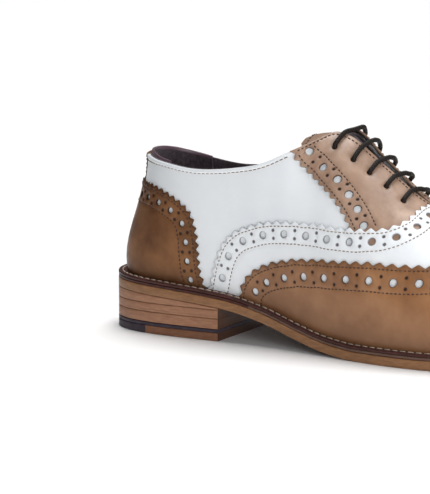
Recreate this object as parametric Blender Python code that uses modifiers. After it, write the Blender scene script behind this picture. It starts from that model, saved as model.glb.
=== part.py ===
"""Brogue oxford, right shoe, as a shoemaker puts it together.

Lengths are in millimetres here and become metres as each mesh is made.
While a piece is worked out, x runs forward from the back of the heel, y to the
inner side of the foot and z up from the floor; the origin is then moved under
the middle of the sole.
"""

import bmesh
import bpy
import numpy as np

MM = 0.001

# Driving dimensions
SOLE_LENGTH = 300.0
BALL_WIDTH = 98.0
HEEL_HEIGHT = 23.4
INSTEP_HEIGHT = 114.5
WALL = 2.0
CLEARANCE = 0.3

# Sole layers, from the floor up
OUTSOLE_THICKNESS = 4.9
MIDSOLE_THICKNESS = 1.3
WELT_THICKNESS = 1.5
WELT_MARGIN = 6.4
WELT_WIDTH = 13.0
INSOLE_THICKNESS = 3.0
BREAST = 77.5
RAND_FRONT = 96.0

# Heel stack, from the floor up
TOP_PIECE_THICKNESS = 4.2
RUBBER_LAYER_THICKNESS = 1.7
LOWER_LIFT_THICKNESS = 5.7
MIDDLE_LIFT_THICKNESS = 4.6
RUBBER_TIP_FRONT = 31.0

# Panels sewn on the upper
PANEL_SEAT = 0.7
PANEL_THICKNESS = 1.0
PANEL_FOOT = 0.025
PANEL_TOP = 0.985
STRIP_FOOT_HALF = 0.036
STRIP_TOP_HALF = 0.058

# Tongue and lace
TONGUE_THICKNESS = 1.6
TONGUE_SIDE = 0.80
TONGUE_ROOT = 0.695
TONGUE_TOP = 0.473
LACE_RADIUS = 1.2
LACE_ARCH = 1.6

# Eyelets from the top down: round and rise on the upper, as for the panels below.
EYELETS = [(0.475, 0.859), (0.518, 0.841), (0.555, 0.849), (0.593, 0.841), (0.630, 0.826)]

# Outline of the sole seen from above: share of the sole length, share of the ball width.
SOLE_OUTLINE = [
    ("heel back", 0.000, 0.000),
    ("heel corner, outer side", 0.029, -0.238),
    ("heel, outer side", 0.113, -0.343),
    ("breast, outer side", 0.253, -0.353),
    ("waist, outer side", 0.393, -0.378),
    ("ball, outer side", 0.620, -0.490),
    ("toe, outer side", 0.813, -0.408),
    ("toe corner, outer side", 0.953, -0.184),
    ("toe tip", 1.000, 0.071),
    ("toe corner, inner side", 0.950, 0.327),
    ("ball, inner side", 0.707, 0.510),
    ("waist, inner side", 0.417, 0.306),
    ("breast, inner side", 0.247, 0.321),
    ("heel, inner side", 0.113, 0.332),
    ("heel corner, inner side", 0.029, 0.230),
]
TOE_TIP_ROW = 8

# Underside of the outsole: share of the sole length, share of the heel height.
UNDERSIDE = [
    ("heel back", 0.000, 1.000),
    ("breast", 0.258, 0.776),
    ("waist back", 0.350, 0.543),
    ("waist front", 0.417, 0.282),
    ("arch end", 0.487, 0.072),
    ("tread back", 0.550, 0.000),
    ("tread front", 0.660, 0.000),
    ("toe spring", 0.767, 0.090),
    ("toe box", 0.873, 0.265),
    ("toe tip", 1.000, 0.555),
]

# Ribs of the upper, each from the edge of the sole up to the topline or the ridge.
# round: share of the way from heel back to toe tip; along: share of the sole length;
# ridge, open: middle and half width of the opening, shares of the ball width;
# height: share of the instep height; drop: how much lower the inner side is, in mm;
# leans in degrees from upright, outward at the foot and inward at the top;
# reaches: how far each lean holds, as a share of the rib's chord.
RIB_COLUMNS = (
    "round", "along", "ridge", "open", "height", "drop",
    "foot_lean", "foot_reach", "top_lean", "top_reach",
)
RIBS = [
    ("heel back", 0.000, 0.0565, 0.000, 0.000, 0.846, 0.0, 10.5, 0.32, 1.0, 0.46),
    ("heel round", 0.035, 0.0605, 0.000, 0.070, 0.844, 0.0, 10.5, 0.32, 1.0, 0.45),
    ("heel side", 0.080, 0.0755, 0.000, 0.146, 0.837, 0.2, 10.0, 0.32, 2.0, 0.43),
    ("quarter back", 0.150, 0.1215, -0.003, 0.245, 0.823, 1.2, 8.5, 0.33, 5.5, 0.34),
    ("ankle", 0.240, 0.2080, -0.005, 0.298, 0.802, 3.0, 9.0, 0.33, 4.0, 0.33),
    ("waist", 0.330, 0.3230, -0.005, 0.306, 0.838, 2.5, 10.0, 0.33, 8.0, 0.33),
    ("facing corner", 0.400, 0.3850, -0.003, 0.262, 0.906, 1.0, 11.5, 0.34, 21.0, 0.30),
    ("facing shoulder", 0.435, 0.4200, 0.000, 0.153, 0.956, 0.5, 12.0, 0.36, 44.0, 0.30),
    ("facing top", 0.470, 0.4583, 0.000, 0.033, 1.000, 0.0, 12.5, 0.38, 62.0, 0.315),
    ("facing middle", 0.560, 0.5270, 0.000, 0.024, 0.865, 0.0, 13.5, 0.40, 68.0, 0.31),
    ("throat", 0.680, 0.6200, 0.003, 0.000, 0.669, 0.0, 14.0, 0.40, 80.0, 0.33),
    ("vamp", 0.760, 0.6930, 0.010, 0.000, 0.546, 0.0, 14.0, 0.42, 88.0, 0.36),
    ("toe box", 0.880, 0.7870, 0.031, 0.000, 0.450, 0.0, 12.0, 0.44, 90.0, 0.40),
    ("toe", 1.000, 0.8730, 0.056, 0.000, 0.397, 0.0, 10.0, 0.46, 90.0, 0.42),
]

# Edges of the panels on the upper's face: round as above, rise from the welt (0) to the top (1).
COUNTER_EDGE = [
    (0.252, 0.025), (0.245, 0.150), (0.242, 0.410), (0.230, 0.620),
    (0.190, 0.745), (0.106, 0.815), (0.000, 0.835),
]
VAMP_EDGE = [
    (0.259, 0.025), (0.273, 0.276), (0.287, 0.425), (0.315, 0.538), (0.357, 0.583),
    (0.400, 0.567), (0.425, 0.537), (0.449, 0.495), (0.470, 0.473), (0.489, 0.469),
    (0.531, 0.496), (0.575, 0.542), (0.600, 0.576), (0.641, 0.704), (0.671, 0.930), (0.684, 1.000),
]
WING_EDGE = [
    (0.315, 0.025), (0.318, 0.090), (0.335, 0.216), (0.361, 0.294), (0.403, 0.342),
    (0.423, 0.346), (0.440, 0.335), (0.460, 0.323), (0.485, 0.324), (0.527, 0.349),
    (0.569, 0.380), (0.609, 0.406), (0.667, 0.461), (0.715, 0.530), (0.755, 0.640),
    (0.780, 0.780), (0.788, 0.900), (0.790, 1.000),
]
FACING_EDGE = [
    (0.403, 0.980), (0.409, 0.955), (0.435, 0.809), (0.461, 0.658), (0.493, 0.588),
    (0.515, 0.548), (0.545, 0.503),
]

# Where the columns of the vamp's grid run from the wing's edge to the vamp's own:
# share of the columns, share of the vamp's edge, share of the wing's edge.
VAMP_COLUMNS = [
    ("heel end", 0.00, 0.000, 0.00),
    ("wing start", 0.20, 0.245, 0.00),
    ("throat corner", 0.60, 0.770, 0.60),
    ("ridge", 1.00, 1.000, 1.00),
]

# Free end of the tongue above the facings: mm back, mm up, share of the full width.
TONGUE_TIP = [
    ("facing top", 0.0, 0.0, 1.00),
    ("neck", 5.0, 1.6, 1.00),
    ("fold", 12.0, 1.2, 0.96),
    ("curl", 18.0, 0.3, 0.80),
    ("tip", 24.0, -2.0, 0.40),
]

# Materials: base colour, roughness
COLOURS = {
    "tan leather": ((0.27, 0.145, 0.075), 0.45),
    "white leather": ((0.80, 0.81, 0.82), 0.40),
    "facing leather": ((0.38, 0.24, 0.16), 0.45),
    "welt leather": ((0.07, 0.028, 0.022), 0.50),
    "sole leather": ((0.22, 0.115, 0.055), 0.50),
    "midsole leather": ((0.11, 0.075, 0.06), 0.60),
    "heel leather": ((0.25, 0.135, 0.085), 0.50),
    "heel rubber": ((0.035, 0.022, 0.03), 0.70),
    "insole leather": ((0.10, 0.06, 0.06), 0.70),
    "lace cord": ((0.025, 0.017, 0.014), 0.60),
}


def smooth(xs, ys, level_start=False):
    """A curve through a table's rows that never overshoots them."""
    xs = np.asarray(xs, float)
    ys = np.asarray(ys, float)
    step = np.diff(xs)
    rise = np.diff(ys) / step
    slope = np.zeros(len(xs))
    slope[0] = 0.0 if level_start else rise[0]
    slope[-1] = rise[-1]
    for k in range(1, len(xs) - 1):
        before, after = rise[k - 1], rise[k]
        if before * after > 0:
            early = 2 * step[k] + step[k - 1]
            late = step[k] + 2 * step[k - 1]
            slope[k] = (early + late) / (early / before + late / after)

    def at(x):
        x = np.clip(np.asarray(x, float), xs[0], xs[-1])
        k = np.clip(np.searchsorted(xs, x, side="right") - 1, 0, len(step) - 1)
        f = (x - xs[k]) / step[k]
        return (
            ys[k] * (1 + 2 * f) * (1 - f) ** 2
            + ys[k + 1] * f**2 * (3 - 2 * f)
            + step[k] * slope[k] * f * (1 - f) ** 2
            - step[k] * slope[k + 1] * f**2 * (1 - f)
        )

    return at


def closed_curve(corners, per_span=60):
    """Points along a smooth closed curve through the corners, per_span to each span."""
    corners = np.array(corners, float)
    count = len(corners)
    span = np.sqrt(np.linalg.norm(np.roll(corners, -1, axis=0) - corners, axis=1))
    system = np.zeros((count, count))
    right = np.zeros((count, 2))
    for k in range(count):
        after = (k + 1) % count
        h0, h1 = span[k - 1], span[k]
        system[k, k - 1] += h1
        system[k, k] += 2 * (h0 + h1)
        system[k, after] += h0
        right[k] = 3 * h1 * (corners[k] - corners[k - 1]) / h0
        right[k] += 3 * h0 * (corners[after] - corners[k]) / h1
    slope = np.linalg.solve(system, right)
    f = np.linspace(0, 1, per_span, endpoint=False)[:, None]
    points = []
    for k in range(count):
        after = (k + 1) % count
        points.append(
            corners[k] * (1 + 2 * f) * (1 - f) ** 2
            + corners[after] * f**2 * (3 - 2 * f)
            + span[k] * slope[k] * f * (1 - f) ** 2
            - span[k] * slope[after] * f**2 * (1 - f)
        )
    return np.concatenate(points)


class SideOutline:
    """One side of the sole's outline, from the heel back (0) to the toe tip (1)."""

    def __init__(self, points, outward):
        self.points = points
        self.outward = outward
        length = np.cumsum(np.linalg.norm(np.diff(points, axis=0), axis=1))
        self.round = np.concatenate([[0.0], length]) / length[-1]

    def at(self, share):
        place = [np.interp(share, self.round, self.points[:, k]) for k in (0, 1)]
        normal = [np.interp(share, self.round, self.outward[:, k]) for k in (0, 1)]
        return np.stack(place, -1), np.stack(normal, -1)

    def share_at(self, x):
        front = np.argmax(self.points[:, 0])
        return np.interp(x, self.points[: front + 1, 0], self.round[: front + 1])


def sole_sides():
    corners = [(a * SOLE_LENGTH, c * BALL_WIDTH) for _, a, c in SOLE_OUTLINE]
    per_span = 60
    loop = closed_curve(corners, per_span)
    way = np.roll(loop, -1, axis=0) - np.roll(loop, 1, axis=0)
    outward = np.column_stack([way[:, 1], -way[:, 0]]) / np.linalg.norm(way, axis=1)[:, None]
    tip = TOE_TIP_ROW * per_span
    sides = []
    for turn in (loop, outward):
        sides.append((turn[: tip + 1], np.vstack([turn[tip:], turn[:1]])[::-1]))
    places, normals = sides
    return SideOutline(places[0], normals[0]), SideOutline(places[1], normals[1]), loop


OUTER_SIDE, INNER_SIDE, SOLE_LOOP = sole_sides()
ORIGIN = np.array([*(SOLE_LOOP.min(axis=0) + SOLE_LOOP.max(axis=0)) / 2, 0.0])

underside = smooth(
    [a * SOLE_LENGTH for _, a, _ in UNDERSIDE],
    [h * HEEL_HEIGHT for _, _, h in UNDERSIDE],
)
rib = {
    name: smooth([r[1] for r in RIBS], [r[k + 1] for r in RIBS], level_start=name != "open")
    for k, name in enumerate(RIB_COLUMNS)
}
SOLE_STACK = OUTSOLE_THICKNESS + MIDSOLE_THICKNESS + WELT_THICKNESS + 2 * CLEARANCE


def feather(inner, share, inset):
    """The foot of each rib: on the welt, inset from the edge of the sole."""
    outer_at, outer_normal = OUTER_SIDE.at(share)
    inner_at, inner_normal = INNER_SIDE.at(share)
    pick = np.asarray(inner)[:, None]
    place = np.where(pick, inner_at, outer_at)
    normal = np.where(pick, inner_normal, outer_normal)
    plan = place - normal * inset
    z = underside(plan[:, 0]) + SOLE_STACK + CLEARANCE
    return np.column_stack([plan, z]), normal


def last_point(inner, share, rise):
    """A point of the upper's outer face: rise runs from the welt (0) to the topline (1)."""
    foot, normal = feather(inner, share, WELT_MARGIN)
    side = np.where(inner, 1.0, -1.0)
    top = np.column_stack([
        rib["along"](share) * SOLE_LENGTH,
        (rib["ridge"](share) + side * rib["open"](share)) * BALL_WIDTH,
        rib["height"](share) * INSTEP_HEIGHT - np.where(inner, rib["drop"](share), 0.0),
    ])
    ahead = np.clip(share + 0.01, 0, 1)
    behind = np.clip(share - 0.01, 0, 1)
    run = (rib["along"](ahead) - rib["along"](behind)) * SOLE_LENGTH
    fall = (rib["height"](ahead) - rib["height"](behind)) * INSTEP_HEIGHT
    on_ridge = np.clip((share - 0.45) / 0.2, 0, 1)
    slope = np.arctan2(fall, run) * on_ridge
    inward = np.column_stack([
        -normal[:, 0] * np.cos(slope), -normal[:, 1], -normal[:, 0] * np.sin(slope)
    ])
    outward = np.column_stack([normal, np.zeros(len(normal))])
    up = np.array([0.0, 0.0, 1.0])
    chord = np.linalg.norm(top - foot, axis=1)
    foot_lean = np.radians(rib["foot_lean"](share))[:, None]
    top_lean = np.radians(rib["top_lean"](share))[:, None]
    leave = up * np.cos(foot_lean) + outward * np.sin(foot_lean)
    arrive = up * np.cos(top_lean) + inward * np.sin(top_lean)
    low = foot + leave * (chord * rib["foot_reach"](share))[:, None]
    high = top - arrive * (chord * rib["top_reach"](share))[:, None]
    w = np.asarray(rise)[:, None]
    return (
        foot * (1 - w) ** 3
        + 3 * low * w * (1 - w) ** 2
        + 3 * high * w**2 * (1 - w)
        + top * w**3
    )


def last_normal(inner, share, rise):
    """The outward direction of the upper's face."""
    step = 0.004
    s0, s1 = np.clip(share - step, 0, 1), np.clip(share + step, 0, 1)
    w0, w1 = np.clip(rise - step, 0, 1), np.clip(rise + step, 0, 1)
    ahead = last_point(inner, s1, rise) - last_point(inner, s0, rise)
    above = last_point(inner, share, w1) - last_point(inner, share, w0)
    normal = np.cross(ahead, above) * np.where(inner, -1.0, 1.0)[:, None]
    return normal / np.linalg.norm(normal, axis=1)[:, None]


def upper_point(inner, share, rise, offset=0.0):
    """A point at a distance outside (or, if negative, inside) the upper's outer face."""
    inner = np.asarray(inner, bool)
    share = np.asarray(share, float)
    rise = np.asarray(rise, float)
    place = last_point(inner, share, rise)
    if np.any(offset):
        place = place + last_normal(inner, share, rise) * offset
    return place


def edge_curve(table, count=240):
    """A smooth edge through a table's rows, as count pairs of round and rise."""
    rows = np.array(table, float)
    steps = np.linalg.norm(np.diff(rows, axis=0) * (340.0, 80.0), axis=1)
    way = np.concatenate([[0.0], np.cumsum(steps)]) / steps.sum()
    even = np.linspace(0, 1, count)
    return np.column_stack([smooth(way, rows[:, k])(even) for k in (0, 1)])


def along(edge, share):
    """The round and rise at a share of an edge's length."""
    even = np.linspace(0, 1, len(edge))
    return np.interp(share, even, edge[:, 0]), np.interp(share, even, edge[:, 1])


def beside(edge, distance):
    """The same edge moved sideways over the upper's face, in mm."""
    outer = np.zeros(len(edge), bool)
    share, rise = edge.T
    step = 0.002
    per_share = (last_point(outer, share + step, rise) - last_point(outer, share - step, rise)) / step / 2
    per_rise = (last_point(outer, share, rise + step) - last_point(outer, share, rise - step)) / step / 2
    way = np.gradient(last_point(outer, share, rise), axis=0)
    sideways = np.cross(last_normal(outer, share, np.clip(rise, 0, 0.99)), way)
    sideways *= distance / np.linalg.norm(sideways, axis=1)[:, None]
    ss = (per_share**2).sum(axis=1)
    rr = (per_rise**2).sum(axis=1)
    sr = (per_share * per_rise).sum(axis=1)
    to_share = (sideways * per_share).sum(axis=1)
    to_rise = (sideways * per_rise).sum(axis=1)
    scale = ss * rr - sr**2
    moved = np.column_stack([to_share * rr - to_rise * sr, to_rise * ss - to_share * sr])
    return edge + moved / scale[:, None]


COUNTER = edge_curve(COUNTER_EDGE)
VAMP = edge_curve(VAMP_EDGE)
WING = edge_curve(WING_EDGE)
FACING = edge_curve(FACING_EDGE)


# Making the objects


def clear_scene():
    for item in list(bpy.data.objects):
        bpy.data.objects.remove(item, do_unlink=True)


def make_materials():
    made = {}
    for name, (colour, roughness) in COLOURS.items():
        material = bpy.data.materials.new(name)
        material.use_nodes = True
        shader = material.node_tree.nodes["Principled BSDF"]
        shader.inputs["Base Color"].default_value = (*colour, 1.0)
        shader.inputs["Roughness"].default_value = roughness
        shader.inputs["Metallic"].default_value = 0.0
        made[name] = material
    return made


def add_object(name, data, material):
    item = bpy.data.objects.new(name, data)
    item.data.materials.append(MATERIALS[material])
    SHOE.objects.link(item)
    return item


def grid_mesh(columns, rows, place):
    """A grid whose corners, from -1 to 1 both ways, are put in place by a function."""
    bm = bmesh.new()
    bmesh.ops.create_grid(bm, x_segments=columns, y_segments=rows, size=1.0)
    corners = np.array([vert.co[:2] for vert in bm.verts])
    points = (place(corners[:, 0], corners[:, 1]) - ORIGIN) * MM
    for vert, point in zip(bm.verts, points):
        vert.co = point
    bmesh.ops.remove_doubles(bm, verts=bm.verts, dist=0.02 * MM)
    return bm


def finish_mesh(name, bm, material, sharp=40.0):
    bmesh.ops.recalc_face_normals(bm, faces=bm.faces)
    mesh = bpy.data.meshes.new(name)
    bm.to_mesh(mesh)
    bm.free()
    mesh.shade_smooth()
    mesh.set_sharp_from_angle(angle=np.radians(sharp))
    return add_object(name, mesh, material)


def sheet(name, columns, rows, place, material, thickness, inside):
    """A skin on the upper's face, thickened outward from it or inward."""
    bm = grid_mesh(columns, rows, place)
    bm.faces.ensure_lookup_table()
    bm.normal_update()
    middle = np.array([(SOLE_LENGTH * 0.45, 0.0, 40.0)]) - ORIGIN
    outward = sum(
        face.normal.dot(face.calc_center_median() - type(face.normal)(middle[0] * MM))
        * face.calc_area() for face in bm.faces
    )
    if outward < 0:
        bmesh.ops.reverse_faces(bm, faces=bm.faces)
    mesh = bpy.data.meshes.new(name)
    bm.to_mesh(mesh)
    bm.free()
    mesh.shade_smooth()
    item = add_object(name, mesh, material)
    shell = item.modifiers.new("thickness", "SOLIDIFY")
    shell.thickness = thickness * MM
    shell.offset = -1.0 if inside else 1.0
    shell.use_even_offset = False
    return item


def plate(name, columns, rows, plan, bottom, top, material):
    """A flat layer of the sole: a plan filled by a grid, between two heights."""

    def place(u, v):
        xy = plan(u, v)
        return np.column_stack([xy, bottom(xy[:, 0])])

    bm = grid_mesh(columns, rows, place)
    raised = bmesh.ops.extrude_face_region(bm, geom=bm.faces[:])["geom"]
    for item in raised:
        if isinstance(item, bmesh.types.BMVert):
            item.co.z = float(top(item.co.x / MM + ORIGIN[0])) * MM
    return finish_mesh(name, bm, material)


def sole_plan(back, front, inset=0.0):
    """The sole's outline between two lengths, filled from side to side."""

    def plan(u, v):
        ends = []
        for side in (OUTER_SIDE, INNER_SIDE):
            start = 0.0 if back is None else side.share_at(back)
            stop = 1.0 if front is None else side.share_at(front)
            place, normal = side.at(start + (stop - start) * (v + 1) / 2)
            ends.append(place - normal * inset)
        across = ((u + 1) / 2)[:, None]
        return ends[0] * (1 - across) + ends[1] * across

    return plan


def height(level):
    """A layer's height that follows the underside of the sole."""
    return lambda x: underside(x) + level


def flat(level):
    return lambda x: np.full(np.shape(x), float(level))


def make_sole():
    midsole = OUTSOLE_THICKNESS + CLEARANCE
    welt = midsole + MIDSOLE_THICKNESS + CLEARANCE
    half = CLEARANCE / 2
    plate("outsole", 3, 40, sole_plan(None, None), height(0), height(OUTSOLE_THICKNESS), "sole leather")
    plate(
        "midsole", 2, 28, sole_plan(RAND_FRONT + half, None),
        height(midsole), height(midsole + MIDSOLE_THICKNESS), "midsole leather",
    )
    plate(
        "heel_rand", 2, 14, sole_plan(None, RAND_FRONT - half),
        height(midsole), height(midsole + MIDSOLE_THICKNESS), "welt leather",
    )

    def ring(u, v):
        inner = v > 0
        share = 1 - np.abs(v)
        place, normal = OUTER_SIDE.at(share)
        inner_place, inner_normal = INNER_SIDE.at(share)
        place = np.where(inner[:, None], inner_place, place)
        normal = np.where(inner[:, None], inner_normal, normal)
        return place - normal * (WELT_WIDTH * (u + 1) / 2)[:, None]

    plate("welt", 1, 80, ring, height(welt), height(welt + WELT_THICKNESS), "welt leather")
    bottom = SOLE_STACK + CLEARANCE
    plate(
        "insole", 2, 32, sole_plan(None, None, WELT_MARGIN + WALL + 0.8),
        height(bottom), height(bottom + INSOLE_THICKNESS), "insole leather",
    )


def make_heel():
    half = CLEARANCE / 2
    level = TOP_PIECE_THICKNESS
    plate(
        "heel_rubber_tip", 3, 8, sole_plan(None, RUBBER_TIP_FRONT - half),
        flat(0), flat(level), "heel rubber",
    )
    plate(
        "heel_top_piece", 3, 4, sole_plan(RUBBER_TIP_FRONT + half, BREAST),
        flat(0), flat(level), "heel leather",
    )
    layers = (
        ("heel_rubber_layer", RUBBER_LAYER_THICKNESS, "heel rubber"),
        ("heel_lift_lower", LOWER_LIFT_THICKNESS, "heel leather"),
        ("heel_lift_middle", MIDDLE_LIFT_THICKNESS, "heel leather"),
    )
    for name, thickness, material in layers:
        level += CLEARANCE
        plate(name, 3, 12, sole_plan(None, BREAST), flat(level), flat(level + thickness), material)
        level += thickness
    plate(
        "heel_lift_wedge", 3, 12, sole_plan(None, BREAST),
        flat(level + CLEARANCE), height(-CLEARANCE), "heel leather",
    )


def make_upper():
    def place(u, v):
        return upper_point(u > 0, 1 - np.abs(u), (v + 1) / 2)

    sheet("upper", 84, 9, place, "white leather", WALL, inside=True)


def make_panels():
    def counter(u, v):
        share, rise = along(COUNTER, 1 - np.abs(u))
        low = np.full(len(u), PANEL_FOOT)
        return upper_point(u > 0, share, low + (rise - low) * (v + 1) / 2, PANEL_SEAT)

    wing_side = beside(WING, CLEARANCE + 0.3)
    columns, vamp_ways, wing_ways = np.array([row[1:] for row in VAMP_COLUMNS]).T

    def vamp(u, v):
        column = 1 - np.abs(u)
        high_share, high_rise = along(VAMP, np.interp(column, columns, vamp_ways))
        low_share, low_rise = along(wing_side, np.interp(column, columns, wing_ways))
        behind = column < columns[1]
        low_share = np.where(behind, high_share, low_share)
        low_rise = np.where(behind, PANEL_FOOT, low_rise)
        mix = (v + 1) / 2
        share = low_share + (high_share - low_share) * mix
        rise = np.clip(low_rise + (high_rise - low_rise) * mix, PANEL_FOOT, 1)
        rise = np.where(u == 0, 1.0, rise)
        return upper_point(u > 0, share, rise, PANEL_SEAT)

    def wing(u, v):
        way = 1 - np.abs(u)
        edge_part = 0.72
        share, rise = along(WING, np.clip(way / edge_part, 0, 1))
        toe = np.clip((way - edge_part) / (1 - edge_part), 0, 1)
        share = np.where(toe > 0, share + (1 - share) * toe, share)
        return upper_point(u > 0, share, PANEL_FOOT + (rise - PANEL_FOOT) * (v + 1) / 2, PANEL_SEAT)

    def facing(inner):
        front = beside(VAMP, CLEARANCE + 0.7)
        front = front[front[:, 1] < PANEL_TOP - 0.03]

        def place(u, v):
            start, stop = FACING[0, 0], front[-1, 0]
            share = start + (stop - start) * (u + 1) / 2
            low = np.maximum(
                np.interp(share, FACING[:, 0], FACING[:, 1]),
                np.interp(share, front[:, 0], front[:, 1]),
            )
            low = np.minimum(low, PANEL_TOP - 0.012)
            rise = low + (PANEL_TOP - low) * (v + 1) / 2
            return upper_point(np.full(len(u), inner), share, rise, PANEL_SEAT)

        return place

    def strip(u, v):
        low = COUNTER[-1, 1] + 0.012
        up = (v + 1) / 2
        half = STRIP_FOOT_HALF + (STRIP_TOP_HALF - STRIP_FOOT_HALF) * up
        return upper_point(u > 0, np.abs(u) * half, low + (PANEL_TOP - low) * up, PANEL_SEAT)

    sheet("counter", 28, 5, counter, "tan leather", PANEL_THICKNESS, inside=False)
    sheet("vamp", 44, 4, vamp, "white leather", PANEL_THICKNESS, inside=False)
    sheet("wing_cap", 60, 8, wing, "tan leather", PANEL_THICKNESS, inside=False)
    sheet("facing_outer", 16, 4, facing(False), "facing leather", PANEL_THICKNESS, inside=False)
    sheet("facing_inner", 16, 4, facing(True), "facing leather", PANEL_THICKNESS, inside=False)
    sheet("back_strip", 8, 3, strip, "tan leather", PANEL_THICKNESS, inside=False)


def make_tongue():
    top = TONGUE_TOP
    tip_back = TONGUE_TIP[-1][1]
    tip_rise = smooth([r[1] for r in TONGUE_TIP], [r[2] for r in TONGUE_TIP])
    tip_width = smooth([r[1] for r in TONGUE_TIP], [r[3] for r in TONGUE_TIP])
    depth_at = smooth((top, TONGUE_ROOT), (-(WALL + 1.3), -(WALL + 2.4)))
    bridge = 0.16

    def section(share, across):
        """From one side of the tongue to the other, bridging the opening."""
        beyond = np.clip((np.abs(across) - bridge) / (1 - bridge), 0, 1)
        rise = 0.995 - beyond * (0.995 - TONGUE_SIDE)
        depth = depth_at(share)[:, None]
        one = upper_point(np.zeros(len(share), bool), share, rise, depth)
        two = upper_point(np.ones(len(share), bool), share, rise, depth)
        mix = np.clip((across + bridge) / (2 * bridge), 0, 1)[:, None]
        return one * (1 - mix) + two * mix

    def place(u, v):
        way = (1 - v) / 2
        free = 0.32
        back = tip_back * np.clip(1 - way / free, 0, 1)
        share = top + (TONGUE_ROOT - top) * np.clip((way - free) / (1 - free), 0, 1)
        point = section(share, u * tip_width(back))
        return point + np.column_stack([-back, np.zeros(len(u)), tip_rise(back)])

    sheet("tongue", 10, 12, place, "facing leather", TONGUE_THICKNESS, inside=True)


def make_laces():
    seat = PANEL_SEAT + PANEL_THICKNESS + 2 * CLEARANCE + LACE_RADIUS
    across = np.linspace(-1, 1, 9)
    for k, (share, eyelet_rise) in enumerate(EYELETS):
        rise = 1 - np.abs(across) * (1 - eyelet_rise)
        lift = seat + LACE_ARCH * (1 - across**2)
        shares = np.full(len(across), share)
        points = upper_point(across > 0, shares, rise)
        normals = last_normal(across > 0, shares, np.minimum(rise, 0.99))
        centre = len(across) // 2
        ends = [upper_point([inner], [share], [1.0])[0] for inner in (False, True)]
        points[centre] = (ends[0] + ends[1]) / 2
        normals[:, 1] = np.where(np.arange(len(across)) == centre, 0.0, normals[:, 1])
        normals /= np.linalg.norm(normals, axis=1)[:, None]
        points = (points + normals * lift[:, None] - ORIGIN) * MM
        curve = bpy.data.curves.new(f"lace_bar_{k + 1}", "CURVE")
        curve.dimensions = "3D"
        curve.bevel_depth = LACE_RADIUS * MM
        curve.bevel_resolution = 2
        curve.use_fill_caps = True
        spline = curve.splines.new("POLY")
        spline.points.add(len(points) - 1)
        for spot, point in zip(spline.points, points):
            spot.co = (*point, 1.0)
        add_object(curve.name, curve, "lace cord")


clear_scene()
SHOE = bpy.data.collections.new("brogue_oxford")
bpy.context.scene.collection.children.link(SHOE)
MATERIALS = make_materials()
make_sole()
make_heel()
make_upper()
make_panels()
make_tongue()
make_laces()
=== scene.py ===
# %% [markdown]
# # A two-tone brogue oxford
# The imported CAD model holds every solid of the shoe in its true place. This lesson keeps that
# frame and dresses it: panels with pinked edges and punched holes, rows of stitches, a threaded
# lace, a welted sole and leather finishes. Loading the frame comes first.

# %% Load the imported shoe
import math

import bmesh
import bpy
import numpy as np
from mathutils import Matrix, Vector
from mathutils.geometry import delaunay_2d_cdt
from mathutils.kdtree import KDTree


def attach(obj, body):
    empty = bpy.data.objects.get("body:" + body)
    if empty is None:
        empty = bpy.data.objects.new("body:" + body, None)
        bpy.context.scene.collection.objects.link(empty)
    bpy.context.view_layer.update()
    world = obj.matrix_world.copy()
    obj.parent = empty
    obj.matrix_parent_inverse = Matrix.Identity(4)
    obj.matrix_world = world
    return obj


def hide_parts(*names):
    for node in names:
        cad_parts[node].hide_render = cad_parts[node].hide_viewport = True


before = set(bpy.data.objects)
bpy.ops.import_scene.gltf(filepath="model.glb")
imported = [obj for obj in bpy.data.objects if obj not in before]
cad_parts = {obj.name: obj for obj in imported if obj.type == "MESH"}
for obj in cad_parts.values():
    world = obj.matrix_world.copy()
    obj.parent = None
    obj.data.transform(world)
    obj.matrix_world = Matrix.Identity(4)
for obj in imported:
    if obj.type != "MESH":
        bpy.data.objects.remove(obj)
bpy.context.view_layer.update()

MM = 0.001
print("CAD nodes:", len(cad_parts))

# %% [markdown]
# ## Camera
# The photograph looks at the outer side of the shoe from a little ahead and a little above, with
# a long lens. A camera is an object whose -Z axis looks forward, so it is placed on a sphere
# around the point it aims at and turned to face it. Lengths are in millimetres from the back of
# the heel, and become metres around the middle of the sole.

# %% Place the camera
ORIGIN = np.array([150.0035, 1.007, 0.0])
VIEW_AROUND = 29.4
VIEW_ABOVE = 8.9
VIEW_DISTANCE = 1100.0
AIM = np.array([67.7, -20.0, 48.8])
LENS = 147.6
SENSOR = 36.0


def row_frame(points):
    """Millimetres from the heel's back as metres in the part's own frame."""
    return (np.asarray(points, float) - ORIGIN) * MM


def direction(around, above):
    """The unit vector towards a viewer: degrees round from the outer side, degrees up."""
    a, e = math.radians(around), math.radians(above)
    return np.array([math.sin(a) * math.cos(e), -math.cos(a) * math.cos(e), math.sin(e)])


camera = bpy.data.objects.new("camera", bpy.data.cameras.new("camera"))
camera.data.lens = LENS
camera.data.sensor_width = SENSOR
camera.location = row_frame(AIM + direction(VIEW_AROUND, VIEW_ABOVE) * VIEW_DISTANCE)
camera.rotation_euler = Vector(-direction(VIEW_AROUND, VIEW_ABOVE)).to_track_quat("-Z", "Y").to_euler()
bpy.context.scene.collection.objects.link(camera)
bpy.context.scene.camera = camera
print("camera at", [round(c, 3) for c in camera.location])

# %% [markdown]
# ## Light
# A shop photograph of a shoe is lit by large soft lamps in a white room, so the floor runs out to
# white and only the contact shadow is left. A lamp near the shoe would leave the far floor grey, so
# the main light is a sun with a very wide angle, which lights the floor evenly and still has soft
# shadows. The world is a white room that is brightest near the horizon, on the toe's side, and dim
# overhead, because light from there would wash the shadow out. One area lamp near the floor gives
# the leather its soft highlights, and the Standard view transform keeps whites white.

# %% Set the light
SUN_AROUND = 195.0
SUN_ABOVE = 75.0
SUN_DISTANCE = 2.0
SUN_WIDTH = 44.0
SUN_STRENGTH = 3.35
KEY_AROUND = 46.0
KEY_ABOVE = 13.0
KEY_DISTANCE = 0.8
KEY_SIZE = 0.5
KEY_POWER = 3.5

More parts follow.
